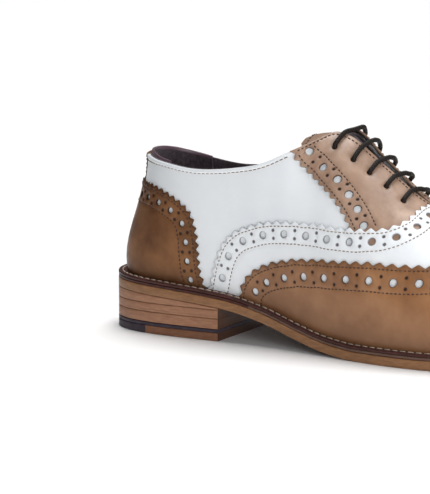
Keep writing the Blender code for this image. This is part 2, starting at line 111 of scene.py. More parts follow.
# Where the room is dim and where it is light, from the heel's side (-1) to the toe's side (1)
DIM_UP_TO, LIGHT_FROM = -0.9, 0.6
ROOM_DIM, ROOM_LIGHT = 0.05, 0.84
HORIZON_TOP = 0.5
OVERHEAD_SHARE = 0.15


def aim_lamp(name, kind, around, above, distance):
    """A lamp on a sphere round the shoe, turned to its middle."""
    lamp = bpy.data.objects.new(name, bpy.data.lights.new(name, kind))
    away = Vector(direction(around, above))
    lamp.location = away * distance
    lamp.rotation_euler = (-away).to_track_quat("-Z", "Y").to_euler()
    bpy.context.scene.collection.objects.link(lamp)
    return lamp.data


sun = aim_lamp("sun", "SUN", SUN_AROUND, SUN_ABOVE, SUN_DISTANCE)
sun.angle = math.radians(SUN_WIDTH)
sun.energy = SUN_STRENGTH
key = aim_lamp("key_lamp", "AREA", KEY_AROUND, KEY_ABOVE, KEY_DISTANCE)
key.shape = "DISK"
key.size = KEY_SIZE
key.energy = KEY_POWER

world = bpy.data.worlds.new("white room")
world.use_nodes = True
room = world.node_tree
background = room.nodes["Background"]
background.inputs["Color"].default_value = (1.0, 1.0, 1.0, 1.0)


def room_share(value, *span):
    """A number of the room's nodes, spread from one span to another."""
    node = room.nodes.new("ShaderNodeMapRange")
    for socket, number in zip(("From Min", "From Max", "To Min", "To Max"), span):
        node.inputs[socket].default_value = number
    room.links.new(value, node.inputs["Value"])
    return node.outputs["Result"]


look = room.nodes.new("ShaderNodeTexCoord")
towards = room.nodes.new("ShaderNodeSeparateXYZ")
room.links.new(look.outputs["Generated"], towards.inputs["Vector"])
strength = room.nodes.new("ShaderNodeMath")
strength.operation = "MULTIPLY"
by_side = room_share(towards.outputs["X"], DIM_UP_TO, LIGHT_FROM, ROOM_DIM, ROOM_LIGHT)
by_height = room_share(towards.outputs["Z"], 0.0, HORIZON_TOP, 1.0, OVERHEAD_SHARE)
room.links.new(by_side, strength.inputs[0])
room.links.new(by_height, strength.inputs[1])
room.links.new(strength.outputs[0], background.inputs["Strength"])
bpy.context.scene.world = world
bpy.context.scene.view_settings.view_transform = "Standard"
bpy.context.scene.view_settings.look = "None"
print("sun", SUN_ABOVE, "degrees up, key lamp", KEY_ABOVE, "degrees up")

# %% [markdown]
# ## Floor
# The shoe stands on a plain sheet that reaches far past the picture, so one face of four corners is
# enough. It is matt and a little darker than pure white, as paper is.

# %% Lay the floor
FLOOR_HALF = 9.0
FLOOR_WHITE = (0.95, 0.95, 0.95, 1.0)
floor_mesh = bpy.data.meshes.new("floor")
corners = [(-1, -1), (1, -1), (1, 1), (-1, 1)]
floor_mesh.from_pydata([(x * FLOOR_HALF, y * FLOOR_HALF, 0.0) for x, y in corners], [], [(0, 1, 2, 3)])
floor = bpy.data.objects.new("floor", floor_mesh)
floor_paint = bpy.data.materials.new("white floor")
floor_paint.use_nodes = True
floor_shader = floor_paint.node_tree.nodes["Principled BSDF"]
floor_shader.inputs["Base Color"].default_value = FLOOR_WHITE
floor_shader.inputs["Roughness"].default_value = 0.6
floor_shader.inputs["Specular IOR Level"].default_value = 0.15
floor.data.materials.append(floor_paint)
bpy.context.scene.collection.objects.link(floor)
print("floor:", 2 * FLOOR_HALF, "m wide")

# %% [markdown]
# ## The outline of the sole
# A shoe grows from the shape of its last, the wooden foot that it is made on. The outline of the
# sole is a closed smooth curve through a few named points, with the same values as the CAD
# source. One could draw it as a Bezier curve, but a curve worked out in code also gives the
# direction that faces outward at each point, and all layers of the sole are inset along it.

# %% Sole outline
SOLE_LENGTH = 300.0
BALL_WIDTH = 98.0
HEEL_HEIGHT = 23.4
INSTEP_HEIGHT = 114.5

# Share of the sole length, share of the ball width
SOLE_OUTLINE = [
    ("heel back", 0.000, 0.000),
    ("heel corner, outer side", 0.029, -0.238),
    ("heel, outer side", 0.113, -0.343),
    ("breast, outer side", 0.253, -0.353),
    ("waist, outer side", 0.393, -0.378),
    ("ball, outer side", 0.620, -0.490),
    ("toe, outer side", 0.813, -0.408),
    ("toe corner, outer side", 0.953, -0.184),
    ("toe tip", 1.000, 0.071),
    ("toe corner, inner side", 0.950, 0.327),
    ("ball, inner side", 0.707, 0.510),
    ("waist, inner side", 0.417, 0.306),
    ("breast, inner side", 0.247, 0.321),
    ("heel, inner side", 0.113, 0.332),
    ("heel corner, inner side", 0.029, 0.230),
]
TOE_TIP_ROW = 8
PER_SPAN = 60


def run_along(points):
    """How far along a line each of its points is."""
    return np.concatenate([[0.0], np.cumsum(np.linalg.norm(np.diff(points, axis=0), axis=1))])


def closed_curve(corners, per_span):
    """Points along a smooth closed curve through the corners, per_span to each span."""
    corners = np.array(corners, float)
    count = len(corners)
    span = np.sqrt(np.linalg.norm(np.roll(corners, -1, axis=0) - corners, axis=1))
    system = np.zeros((count, count))
    right = np.zeros((count, 2))
    for k in range(count):
        after = (k + 1) % count
        h0, h1 = span[k - 1], span[k]
        system[k, k - 1] += h1
        system[k, k] += 2 * (h0 + h1)
        system[k, after] += h0
        right[k] = 3 * h1 * (corners[k] - corners[k - 1]) / h0
        right[k] += 3 * h0 * (corners[after] - corners[k]) / h1
    slope = np.linalg.solve(system, right)
    f = np.linspace(0, 1, per_span, endpoint=False)[:, None]
    points = []
    for k in range(count):
        after = (k + 1) % count
        points.append(
            corners[k] * (1 + 2 * f) * (1 - f) ** 2
            + corners[after] * f**2 * (3 - 2 * f)
            + span[k] * slope[k] * f * (1 - f) ** 2
            - span[k] * slope[after] * f**2 * (1 - f)
        )
    return np.concatenate(points)


class SideOutline:
    """One side of the sole's outline, from the heel back (0) to the toe tip (1)."""

    def __init__(self, points, outward):
        self.points = points
        self.outward = outward
        run = run_along(points)
        self.round = run / run[-1]

    def at(self, share):
        place = [np.interp(share, self.round, self.points[:, k]) for k in (0, 1)]
        normal = [np.interp(share, self.round, self.outward[:, k]) for k in (0, 1)]
        return np.stack(place, -1), np.stack(normal, -1)

    def share_at(self, x):
        front = np.argmax(self.points[:, 0])
        return np.interp(x, self.points[: front + 1, 0], self.round[: front + 1])


sole_loop = closed_curve([(a * SOLE_LENGTH, c * BALL_WIDTH) for _, a, c in SOLE_OUTLINE], PER_SPAN)
loop_way = np.roll(sole_loop, -1, axis=0) - np.roll(sole_loop, 1, axis=0)
loop_out = np.column_stack([loop_way[:, 1], -loop_way[:, 0]])
loop_out /= np.linalg.norm(loop_way, axis=1)[:, None]
tip = TOE_TIP_ROW * PER_SPAN
OUTER_SIDE = SideOutline(sole_loop[: tip + 1], loop_out[: tip + 1])
INNER_SIDE = SideOutline(
    np.vstack([sole_loop[tip:], sole_loop[:1]])[::-1],
    np.vstack([loop_out[tip:], loop_out[:1]])[::-1],
)
print("sole outline:", np.round(np.ptp(sole_loop, axis=0), 1), "mm")

# %% [markdown]
# ## The shape of the last
# The upper is a skin over the last. It is described by ribs that rise from the welt to the
# topline, with a row for each in a short table. A subdivision surface over a few ribs would be
# smooth too, but it shrinks away from its corners, while a curve through the table's rows keeps
# every measure.

# %% Ribs of the last
EASE_REACH = 0.016

# Share of the sole length, share of the heel height
UNDERSIDE = [
    ("heel back", 0.000, 1.000),
    ("breast", 0.258, 0.776),
    ("waist back", 0.350, 0.543),
    ("waist front", 0.417, 0.282),
    ("arch end", 0.487, 0.072),
    ("tread back", 0.550, 0.000),
    ("tread front", 0.660, 0.000),
    ("toe spring", 0.767, 0.090),
    ("toe box", 0.873, 0.265),
    ("toe tip", 1.000, 0.555),
]

# Shares of the outline, of the sole length (along), of the ball width (ridge and open) and of the
# instep height; drop is in mm, leans are in degrees, reaches are shares of the rib's chord
RIB_COLUMNS = (
    "round", "along", "ridge", "open", "height", "drop",
    "foot_lean", "foot_reach", "top_lean", "top_reach",
)
RIBS = [
    ("heel back", 0.000, 0.0565, 0.000, 0.000, 0.846, 0.0, 10.5, 0.32, 1.0, 0.46),
    ("heel round", 0.035, 0.0605, 0.000, 0.070, 0.844, 0.0, 10.5, 0.32, 1.0, 0.45),
    ("heel side", 0.080, 0.0755, 0.000, 0.146, 0.837, 0.2, 10.0, 0.32, 2.0, 0.43),
    ("quarter back", 0.150, 0.1215, -0.003, 0.245, 0.823, 1.2, 8.5, 0.33, 5.5, 0.34),
    ("ankle", 0.240, 0.2080, -0.005, 0.298, 0.802, 3.0, 9.0, 0.33, 4.0, 0.33),
    ("waist", 0.330, 0.3230, -0.005, 0.306, 0.838, 2.5, 10.0, 0.33, 8.0, 0.33),
    ("facing corner", 0.400, 0.3850, -0.003, 0.262, 0.906, 1.0, 11.5, 0.34, 21.0, 0.30),
    ("facing shoulder", 0.435, 0.4200, 0.000, 0.153, 0.956, 0.5, 12.0, 0.36, 44.0, 0.30),
    ("facing top", 0.470, 0.4583, 0.000, 0.033, 1.000, 0.0, 12.5, 0.38, 62.0, 0.315),
    ("facing middle", 0.560, 0.5270, 0.000, 0.024, 0.865, 0.0, 13.5, 0.40, 68.0, 0.31),
    ("throat", 0.680, 0.6200, 0.003, 0.000, 0.669, 0.0, 14.0, 0.40, 80.0, 0.33),
    ("vamp", 0.760, 0.6930, 0.010, 0.000, 0.546, 0.0, 14.0, 0.42, 88.0, 0.36),
    ("toe box", 0.880, 0.7870, 0.031, 0.000, 0.450, 0.0, 12.0, 0.44, 90.0, 0.40),
    ("toe", 1.000, 0.8730, 0.056, 0.000, 0.397, 0.0, 10.0, 0.46, 90.0, 0.42),
]


def smooth(xs, ys, level_start=False):
    """A curve through a table's rows that never overshoots them."""
    xs = np.asarray(xs, float)
    ys = np.asarray(ys, float)
    step = np.diff(xs)
    rise = np.diff(ys) / step
    slope = np.zeros(len(xs))
    slope[0] = 0.0 if level_start else rise[0]
    slope[-1] = rise[-1]
    for k in range(1, len(xs) - 1):
        before, after = rise[k - 1], rise[k]
        if before * after > 0:
            early = 2 * step[k] + step[k - 1]
            late = step[k] + 2 * step[k - 1]
            slope[k] = (early + late) / (early / before + late / after)

    def at(x):
        x = np.clip(np.asarray(x, float), xs[0], xs[-1])
        k = np.clip(np.searchsorted(xs, x, side="right") - 1, 0, len(step) - 1)
        f = (x - xs[k]) / step[k]
        return (
            ys[k] * (1 + 2 * f) * (1 - f) ** 2
            + ys[k + 1] * f**2 * (3 - 2 * f)
            + step[k] * slope[k] * f * (1 - f) ** 2
            - step[k] * slope[k + 1] * f**2 * (1 - f)
        )

    return at


underside = smooth(
    [a * SOLE_LENGTH for _, a, _ in UNDERSIDE],
    [h * HEEL_HEIGHT for _, _, h in UNDERSIDE],
)


def eased(curve, odd):
    """A rib's curve without kinks: its mean over a short reach, kept in a fine table."""
    fine = np.linspace(0, 1, 2001)
    total = np.zeros(len(fine))
    offsets = np.linspace(-EASE_REACH, EASE_REACH, 9)
    weights = 1.25 * EASE_REACH - np.abs(offsets)
    for offset, weight in zip(offsets, weights / weights.sum()):
        at = fine + offset
        value = curve(np.abs(at)) * (np.sign(at) if odd else 1.0)
        total += weight * np.where(at > 1, 2 * curve(1.0) - curve(2 - at), value)
    return lambda share: np.interp(share, fine, total)


rib = {
    name: eased(smooth([r[1] for r in RIBS], [r[k + 1] for r in RIBS], name != "open"), name == "open")
    for k, name in enumerate(RIB_COLUMNS)
}
print("ribs:", len(RIBS), "rows of", len(RIB_COLUMNS), "numbers")

# %% [markdown]
# ## Spots on the last
# Each rib is one Bezier arc whose lean and reach come from the curves above. With that, any spot on
# the upper has two coordinates, how far round the shoe it is and how far up its rib, and every
# panel, hole and stitch below is placed by those two numbers. The same helpers give the direction
# that faces outward, so leather of any thickness can be laid on.

# %% Points and normals
WALL = 2.0
SOLE_STACK = 8.3
FOOT_GAP = 0.3
WELT_MARGIN = 6.4
THROAT = 0.68
RIDGE_FROM = 0.45
RIDGE_BLEND = 0.2
SLOPE_STEP = 0.01


def last_point(inner, share, rise):
    """A point of the upper's outer face: rise runs from the welt (0) to the topline (1)."""
    outer_at, outer_normal = OUTER_SIDE.at(share)
    inner_at, inner_normal = INNER_SIDE.at(share)
    pick = np.asarray(inner)[:, None]
    normal = np.where(pick, inner_normal, outer_normal)
    plan = np.where(pick, inner_at, outer_at) - normal * WELT_MARGIN
    foot = np.column_stack([plan, underside(plan[:, 0]) + SOLE_STACK + FOOT_GAP])
    side = np.where(inner, 1.0, -1.0)
    top = np.column_stack([
        rib["along"](share) * SOLE_LENGTH,
        (rib["ridge"](share) + side * rib["open"](share)) * BALL_WIDTH,
        rib["height"](share) * INSTEP_HEIGHT - np.where(inner, rib["drop"](share), 0.0),
    ])
    ahead = np.clip(share + SLOPE_STEP, 0, 1)
    behind = np.clip(share - SLOPE_STEP, 0, 1)
    run = (rib["along"](ahead) - rib["along"](behind)) * SOLE_LENGTH
    fall = (rib["height"](ahead) - rib["height"](behind)) * INSTEP_HEIGHT
    on_ridge = np.clip((share - RIDGE_FROM) / RIDGE_BLEND, 0, 1)
    slope = np.arctan2(fall, run) * on_ridge
    inward = np.column_stack([
        -normal[:, 0] * np.cos(slope), -normal[:, 1], -normal[:, 0] * np.sin(slope)
    ])
    outward = np.column_stack([normal, np.zeros(len(normal))])
    up = np.array([0.0, 0.0, 1.0])
    chord = np.linalg.norm(top - foot, axis=1)
    foot_lean = np.radians(rib["foot_lean"](share))[:, None]
    top_lean = np.radians(rib["top_lean"](share))[:, None]
    leave = up * np.cos(foot_lean) + outward * np.sin(foot_lean)
    arrive = up * np.cos(top_lean) + inward * np.sin(top_lean)
    low = foot + leave * (chord * rib["foot_reach"](share))[:, None]
    high = top - arrive * (chord * rib["top_reach"](share))[:, None]
    w = np.asarray(rise)[:, None]
    return (
        foot * (1 - w) ** 3
        + 3 * low * w * (1 - w) ** 2
        + 3 * high * w**2 * (1 - w)
        + top * w**3
    )


def side_normal(inner, share, rise):
    step = 0.004
    s0, s1 = np.clip(share - step, 0, 1), np.clip(share + step, 0, 1)
    w0, w1 = np.clip(rise - step, 0, 1), np.clip(rise + step, 0, 1)
    ahead = last_point(inner, s1, rise) - last_point(inner, s0, rise)
    above = last_point(inner, share, w1) - last_point(inner, share, w0)
    normal = np.cross(ahead, above) * np.where(inner, -1.0, 1.0)[:, None]
    return normal / np.linalg.norm(normal, axis=1)[:, None]


def face_normal(inner, share, rise):
    """The outward direction, shared by both sides where they meet at heel, ridge and toe."""
    own = side_normal(inner, share, rise)
    both = own + side_normal(~inner, share, rise)
    both /= np.maximum(np.linalg.norm(both, axis=1), 1e-9)[:, None]
    meet = (share < 1e-5) | (share > 1 - 1e-5) | ((rise > 1 - 1e-5) & (share > THROAT))
    return np.where(meet[:, None], both, own)


def on_upper(inner, share, rise, offset=0.0):
    """Points at a distance outside (or, if negative, inside) the upper's outer face."""
    share, rise = np.broadcast_arrays(np.asarray(share, float), np.asarray(rise, float))
    inner = np.broadcast_to(np.asarray(inner, bool), share.shape)
    offset = np.broadcast_to(np.asarray(offset, float), share.shape)
    return last_point(inner, share, rise) + face_normal(inner, share, rise) * offset[:, None]


print("top of the facing:", np.round(on_upper([False], [0.47], [1.0])[0], 1), "mm")

# %% [markdown]
# ## Making pieces
# Three helpers turn arrays of points into objects. The first joins a grid of points with quads. The
# second makes a mesh, welds what coincides and lets bmesh turn all faces outward. The third gives
# the mesh its finish, makes it ride on the shoe's one body and hides the CAD node it stands for.
# Smooth shading with sharp edges above an angle keeps cut leather crisp.

# %% Mesh helpers
SHOE = bpy.data.collections.new("dressed_shoe")
bpy.context.scene.collection.children.link(SHOE)


def skin(points, around=False, along=False):
    """Quads between the neighbours in a grid of points, closed across or along if asked."""
    rows, columns = points.shape[:2]
    index = np.arange(rows * columns).reshape(rows, columns)
    if around:
        index = np.column_stack([index, index[:, 0]])
    if along:
        index = np.vstack([index, index[0]])
    quads = np.stack([index[:-1, :-1], index[:-1, 1:], index[1:, 1:], index[1:, :-1]], -1)
    return points.reshape(-1, 3), quads.reshape(-1, 4)


def make_mesh(name, points, faces, weld=0.0, close=False, values=None):
    """A mesh from points in mm; values become named numbers on its points."""
    mesh = bpy.data.meshes.new(name)
    mesh.from_pydata(row_frame(points).tolist(), [], [tuple(int(i) for i in f) for f in faces])
    for key, numbers in (values or {}).items():
        layer = mesh.attributes.new(key, "FLOAT", "POINT")
        layer.data.foreach_set("value", np.asarray(numbers, np.float32))
    bm = bmesh.new()
    bm.from_mesh(mesh)
    if weld:
        bmesh.ops.remove_doubles(bm, verts=bm.verts, dist=weld * MM)
        bmesh.ops.dissolve_degenerate(bm, dist=1e-7, edges=bm.edges)
    if close:
        open_edges = [edge for edge in bm.edges if edge.is_boundary]
        bmesh.ops.holes_fill(bm, edges=open_edges, sides=0)
    bmesh.ops.recalc_face_normals(bm, faces=bm.faces)
    bm.to_mesh(mesh)
    bm.free()
    return mesh


def add_piece(name, mesh, finish, nodes=(), sharp=50.0):
    """A piece of the shoe with its finish; it stands for the CAD nodes that are named."""
    mesh.shade_smooth()
    mesh.set_sharp_from_angle(angle=math.radians(sharp))
    piece = bpy.data.objects.new(name, mesh)
    piece.data.materials.append(finish)
    SHOE.objects.link(piece)
    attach(piece, "root")
    if nodes:
        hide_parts(*nodes)


print("collection for the pieces:", SHOE.name)

# %% [markdown]
# ## A short way to make materials
# A material is a tree of nodes that ends in a shader. Built by hand in the node editor it is a
# picture; in code it is a long list of links. A small class shortens that list, so that a finish
# below reads as what it is made of. Its noises use the object's own coordinates, in metres.

# %% Material helper


def tone(red, green, blue):
    """A screen colour, 0 to 255, as the linear colour that a shader takes."""
    parts = np.array([red, green, blue]) / 255
    linear = np.where(parts > 0.04045, ((parts + 0.055) / 1.055) ** 2.4, parts / 12.92)
    return (*linear.tolist(), 1.0)


class Finish:
    """A material with its shader, and a short way to add the nodes that vary it."""

    def __init__(self, name, **sockets):
        self.material = bpy.data.materials.new(name)
        self.material.use_nodes = True
        self.tree = self.material.node_tree
        self.shader = self.tree.nodes["Principled BSDF"]
        for socket, value in sockets.items():
            self.shader.inputs[socket.replace("_", " ")].default_value = value
        place = self.tree.nodes.new("ShaderNodeTexCoord")
        self.place = place.outputs["Object"]

    def node(self, kind, inputs, **settings):
        node = self.tree.nodes.new(kind)
        for key, value in settings.items():
            setattr(node, key, value)
        for key, value in inputs.items():
            if isinstance(value, bpy.types.NodeSocket):
                self.tree.links.new(value, node.inputs[key])
            else:
                node.inputs[key].default_value = value
        return node

    def noise(self, scale, detail=3.0, roughness=0.55, vector=None):
        vector = vector or self.place
        inputs = {"Vector": vector, "Scale": scale, "Detail": detail, "Roughness": roughness}
        return self.node("ShaderNodeTexNoise", inputs).outputs["Fac"]

    def spread(self, value, low, high, to_low=0.0, to_high=1.0):
        inputs = {"Value": value, "From Min": low, "From Max": high, "To Min": to_low, "To Max": to_high}
        return self.node("ShaderNodeMapRange", inputs).outputs["Result"]

    def math(self, operation, one, two):
        return self.node("ShaderNodeMath", {0: one, 1: two}, operation=operation).outputs[0]

    def mix(self, amount, one, two):
        return self.node("ShaderNodeMix", {0: amount, 6: one, 7: two}, data_type="RGBA").outputs[2]

    def stretched(self, x, y, z):
        inputs = {"Vector": self.place, "Scale": (x, y, z)}
        return self.node("ShaderNodeMapping", inputs).outputs["Vector"]

    def number(self, name):
        return self.node("ShaderNodeAttribute", {}, attribute_name=name).outputs["Fac"]

    def paint(self, colour):
        self.tree.links.new(colour, self.shader.inputs["Base Color"])

    def gloss(self, roughness):
        self.tree.links.new(roughness, self.shader.inputs["Roughness"])

    def relief(self, height, strength, distance):
        inputs = {"Height": height, "Strength": strength, "Distance": distance * MM}
        bump = self.node("ShaderNodeBump", inputs)
        self.tree.links.new(bump.outputs["Normal"], self.shader.inputs["Normal"])


print("a middle grey is", [round(part, 3) for part in tone(128, 128, 128)[:3]])

# %% [markdown]
# ## Leather finishes
# Box-calf is smooth, with pores of half a millimetre, soft clouds in its dye and darker, rubbed
# edges. A Principled shader takes all of that: two noises mix the dye, a Voronoi pattern and a fine
# noise make the grain as bump, and a thin coat is the polish. The dark edge tone comes from a number
# that each panel stores on its points, so that it follows the cut edges and not the camera. Around
# the holes and low on a panel near the welt, the same number also paints shade into the colour.

# %% Leathers
# Noise scales, in patches to the metre
CLOUD_SCALE = 38.0
STREAK_SCALE = 120.0
SHINE_SCALE = 300.0
WRINKLE_SCALE = 650.0
PORE_SCALE = 1500.0


def calf(name, light, deep, edge, roughness, grain=0.25, coat=0.1, shine=0.35, clouds=0.7, mottle=0.22):
    """Polished calf: clouded dye between light and deep, and a dark edge tone for rubbed edges and
    painted shade.
    """
    finish = Finish(name, Coat_Weight=coat, Coat_Roughness=0.18, Specular_IOR_Level=shine)
    cloud = finish.spread(finish.noise(CLOUD_SCALE, 4.0), 0.34, 0.68)
    upright = finish.stretched(1.0, 1.0, 0.45)
    streak = finish.spread(finish.noise(STREAK_SCALE, 5.0, 0.6, upright), 0.35, 0.7)
    body = finish.mix(finish.math("MULTIPLY", cloud, clouds), light, deep)
    body = finish.mix(finish.math("MULTIPLY", streak, mottle), body, deep)
    # The stored number mixes in the edge tone: rubbed edges, and painted shade in hole walls and near the
    # welt
    finish.paint(finish.mix(finish.number("burnish_and_shade"), body, edge))
    pore = finish.node("ShaderNodeTexVoronoi", {"Vector": finish.place, "Scale": PORE_SCALE})
    pores = finish.math("MULTIPLY", pore.outputs["Distance"], 0.5)
    finish.relief(finish.math("ADD", pores, finish.noise(WRINKLE_SCALE, 4.0)), grain, 0.12)
    shade = finish.noise(SHINE_SCALE, 3.0)
    finish.gloss(finish.spread(shade, 0.3, 0.7, roughness - 0.05, roughness + 0.07))
    return finish.material


WHITE_POLISH = {"roughness": 0.42, "grain": 0.16, "coat": 0.04}
PINHOLE_PAINTED_SHADE_POLISH = {"roughness": 0.7, "grain": 0.3, "coat": 0.0}
TAN = calf("tan calf", tone(162, 117, 80), tone(122, 80, 49), tone(66, 40, 24), 0.40, clouds=0.8)
COUNTER_CALF = calf(
    "counter calf", tone(138, 94, 58), tone(84, 49, 23), tone(50, 28, 15), 0.44,
    coat=0.03, shine=0.2, clouds=0.95,
)
FACING = calf(
    "facing calf", tone(184, 155, 135), tone(138, 108, 88), tone(64, 41, 28), 0.40,
    shine=0.42, mottle=0.85,
)
WHITE = calf(
    "white calf", tone(226, 229, 232), tone(217, 221, 225), tone(200, 201, 202), **WHITE_POLISH
)
# The vamp's grey edge tone shows on the walls of its holes and cut edges, where it is painted shade
VAMP_CALF = calf(
    "vamp calf", tone(228, 231, 234), tone(220, 224, 228), tone(132, 134, 140), **WHITE_POLISH
)
# Dark discs at the bottom of pinholes: painted shade, in tan and in white
TAN_PINHOLE_PAINTED_SHADE = calf("tan pinhole painted shade", tone(58, 38, 27), tone(40, 25, 18), tone(30, 18, 13), **PINHOLE_PAINTED_SHADE_POLISH)
WHITE_PINHOLE_PAINTED_SHADE = calf(
    "white pinhole painted shade", tone(110, 106, 106), tone(88, 84, 84), tone(70, 66, 66), **PINHOLE_PAINTED_SHADE_POLISH
)
print("leathers:", TAN.name, COUNTER_CALF.name, FACING.name, WHITE.name)

# %% [markdown]
# ## Lines on the leather
# A pattern cutter draws the panels on the last itself. The same is done here: each edge is a smooth
# line through a few spots, given by round and rise. Curves could be drawn beside the shoe and
# shrink-wrapped onto it, but two numbers for each spot are exact and stay on the leather.

# %% Edges of the panels
COUNTER_EDGE = [
    (0.253, 0.000), (0.245, 0.150), (0.242, 0.410), (0.230, 0.620),
    (0.190, 0.745), (0.106, 0.815), (0.000, 0.835),
]
VAMP_EDGE = [
    (0.258, 0.000), (0.273, 0.276), (0.287, 0.425), (0.315, 0.538), (0.357, 0.583),
    (0.400, 0.567), (0.425, 0.537), (0.449, 0.495), (0.470, 0.473), (0.489, 0.469),
    (0.531, 0.496), (0.575, 0.542), (0.600, 0.576), (0.641, 0.704), (0.671, 0.930), (0.684, 1.000),
]
WING_EDGE = [
    (0.314, 0.000), (0.318, 0.090), (0.335, 0.216), (0.361, 0.294), (0.403, 0.342),
    (0.423, 0.346), (0.440, 0.335), (0.460, 0.323), (0.485, 0.324), (0.527, 0.349),
    (0.569, 0.380), (0.609, 0.406), (0.667, 0.461), (0.715, 0.530), (0.755, 0.640),
    (0.780, 0.780), (0.788, 0.900), (0.790, 1.000),
]
FACING_EDGE = [
    (0.401, 1.000), (0.411, 0.927), (0.425, 0.847), (0.440, 0.766), (0.454, 0.697), (0.468, 0.644),
    (0.483, 0.611), (0.496, 0.587), (0.509, 0.562), (0.519, 0.537), (0.530, 0.500), (0.540, 0.460),
]
FACING_HOLES = [
    (0.4326, 0.921), (0.4669, 0.745), (0.5009, 0.694), (0.5281, 0.655), (0.5485, 0.611), (0.5623, 0.545),
]
FACING_SEAMS = [
    [(0.416, 0.945), (0.426, 0.879), (0.445, 0.780), (0.470, 0.673), (0.496, 0.621), (0.511, 0.597),
     (0.525, 0.570), (0.537, 0.538), (0.550, 0.490)],
    [(0.435, 0.955), (0.455, 0.847), (0.477, 0.775), (0.508, 0.730), (0.531, 0.707), (0.554, 0.674),
     (0.570, 0.635), (0.586, 0.570)],
]
SLIT_EDGE = [
    (0.680, 0.995), (0.640, 0.975), (0.591, 0.982), (0.551, 0.982), (0.530, 0.972), (0.511, 0.965),
    (0.486, 0.960), (0.470, 0.972), (0.455, 1.000),
]
print("spots of the edges:", len(COUNTER_EDGE), len(VAMP_EDGE), len(WING_EDGE), len(FACING_EDGE))

# %% [markdown]
# ## Lines beside an edge
# Holes and seams are lines beside an edge, which is how a brogue is really marked out. The helpers
# move a line sideways by so many millimetres over the curved surface, in small steps, and cut off
# the loops that a tight bend would leave. A flat offset would be wrong where the last is curved.

# %% Move lines over the leather
FLAT = np.array([340.0, 80.0])
TURN_RISE = 0.90
MOVE_STEP = 2.5


def edge_curve(table, count=400):
    """A smooth line through a table's rows, as count pairs of round and rise."""
    rows = np.array(table, float)
    steps = np.linalg.norm(np.diff(rows, axis=0) * FLAT, axis=1)
    way = np.concatenate([[0.0], np.cumsum(steps)]) / steps.sum()
    even = np.linspace(0, 1, count)
    return np.column_stack([smooth(way, rows[:, k])(even) for k in (0, 1)])


def distances(line, inner):
    """How far along the upper each spot of a line is, in mm."""
    points = on_upper(inner, line[:, 0], np.clip(line[:, 1], 0, 1))
    return run_along(points)


def spots(line, way, wanted):
    """The round and rise at the wanted distances along a line."""
    return np.column_stack([np.interp(wanted, way, line[:, k]) for k in (0, 1)])


def step_aside(line, inner, distance):
    share, rise = np.clip(line[:, 0], 0, 1), line[:, 1]
    side = np.full(len(line), inner)
    step = 0.002
    s0, s1 = np.clip(share - step, 0, 1), np.clip(share + step, 0, 1)
    per_share = (last_point(side, s1, rise) - last_point(side, s0, rise)) / (s1 - s0)[:, None]
    per_rise = last_point(side, share, rise + step) - last_point(side, share, rise - step)
    per_rise /= 2 * step
    way = np.gradient(last_point(side, share, rise), axis=0)
    sideways = np.cross(face_normal(side, share, np.clip(rise, 0, 1)), way)
    sideways *= (-distance if inner else distance) / np.linalg.norm(sideways, axis=1)[:, None]
    ss = (per_share**2).sum(axis=1)
    rr = (per_rise**2).sum(axis=1)
    sr = (per_share * per_rise).sum(axis=1)
    to_share = (sideways * per_share).sum(axis=1)
    to_rise = (sideways * per_rise).sum(axis=1)
    moved = np.column_stack([to_share * rr - to_rise * sr, to_rise * ss - to_share * sr])
    return line + moved / (ss * rr - sr**2)[:, None]


def moved(line, inner, distance):
    """A line moved sideways over the upper, in mm, spot by spot."""
    steps = max(1, math.ceil(abs(distance) / MOVE_STEP))
    ends_on_heel = line[-1, 0] < 0.001
    for _ in range(steps):
        line = step_aside(line, inner, distance / steps)
        if ends_on_heel:
            line[:, 0] = np.maximum(line[:, 0], 0.0)
            line[-1, 0] = 0.0
    return line


def untied(line):
    """A line without the small loops that a tight bend makes when it is moved inward."""
    flat = line * FLAT
    step = np.diff(flat, axis=0)
    keep, k = [], 0
    while k < len(step):
        keep.append(line[k])
        later = np.arange(k + 2, len(step))
        gap = flat[later] - flat[k]
        turn = step[k, 0] * step[later, 1] - step[k, 1] * step[later, 0]
        turn = np.where(np.abs(turn) < 1e-12, 1e-12, turn)
        here = (gap[:, 0] * step[later, 1] - gap[:, 1] * step[later, 0]) / turn
        there = (gap[:, 0] * step[k, 1] - gap[:, 1] * step[k, 0]) / turn
        met = np.flatnonzero((here >= 0) & (here <= 1) & (there >= 0) & (there <= 1))
        k = later[met[-1]] + 1 if len(met) else k + 1
    return np.vstack([keep, line[-1:]])


def beside(line, inner, distance):
    """A moved line that ends on the ridge, or at the middle of the heel, if the first one did."""
    ends_on_ridge = line[-1, 1] > 0.999
    line = untied(moved(line, inner, distance))
    at_heel = np.flatnonzero(line[:, 0] < 1e-6)
    if len(at_heel):
        line = line[: at_heel[0] + 1]
    if ends_on_ridge:
        line = line[: np.argmax(line[:, 1] > TURN_RISE) or len(line)]
        lead = line[-1] - line[-8]
        f = np.linspace(0, 1, 20)[1:]
        left = 1 - line[-1, 1]
        share = line[-1, 0] + lead[0] / max(lead[1], 1e-6) * left * (f - f * f / 2)
        line = np.vstack([line, np.column_stack([share, line[-1, 1] + left * f])])
    return line


COUNTER = edge_curve(COUNTER_EDGE)
VAMP = edge_curve(VAMP_EDGE)
WING = edge_curve(WING_EDGE)
FACING_SIDE = edge_curve(FACING_EDGE)
FACING_ROW = edge_curve(FACING_HOLES)
SLIT = edge_curve(SLIT_EDGE, 60)
for label, line in (("counter", COUNTER), ("vamp", VAMP), ("wing", WING), ("facing", FACING_SIDE)):
    print(label, "edge is", round(distances(line, False)[-1]), "mm long")

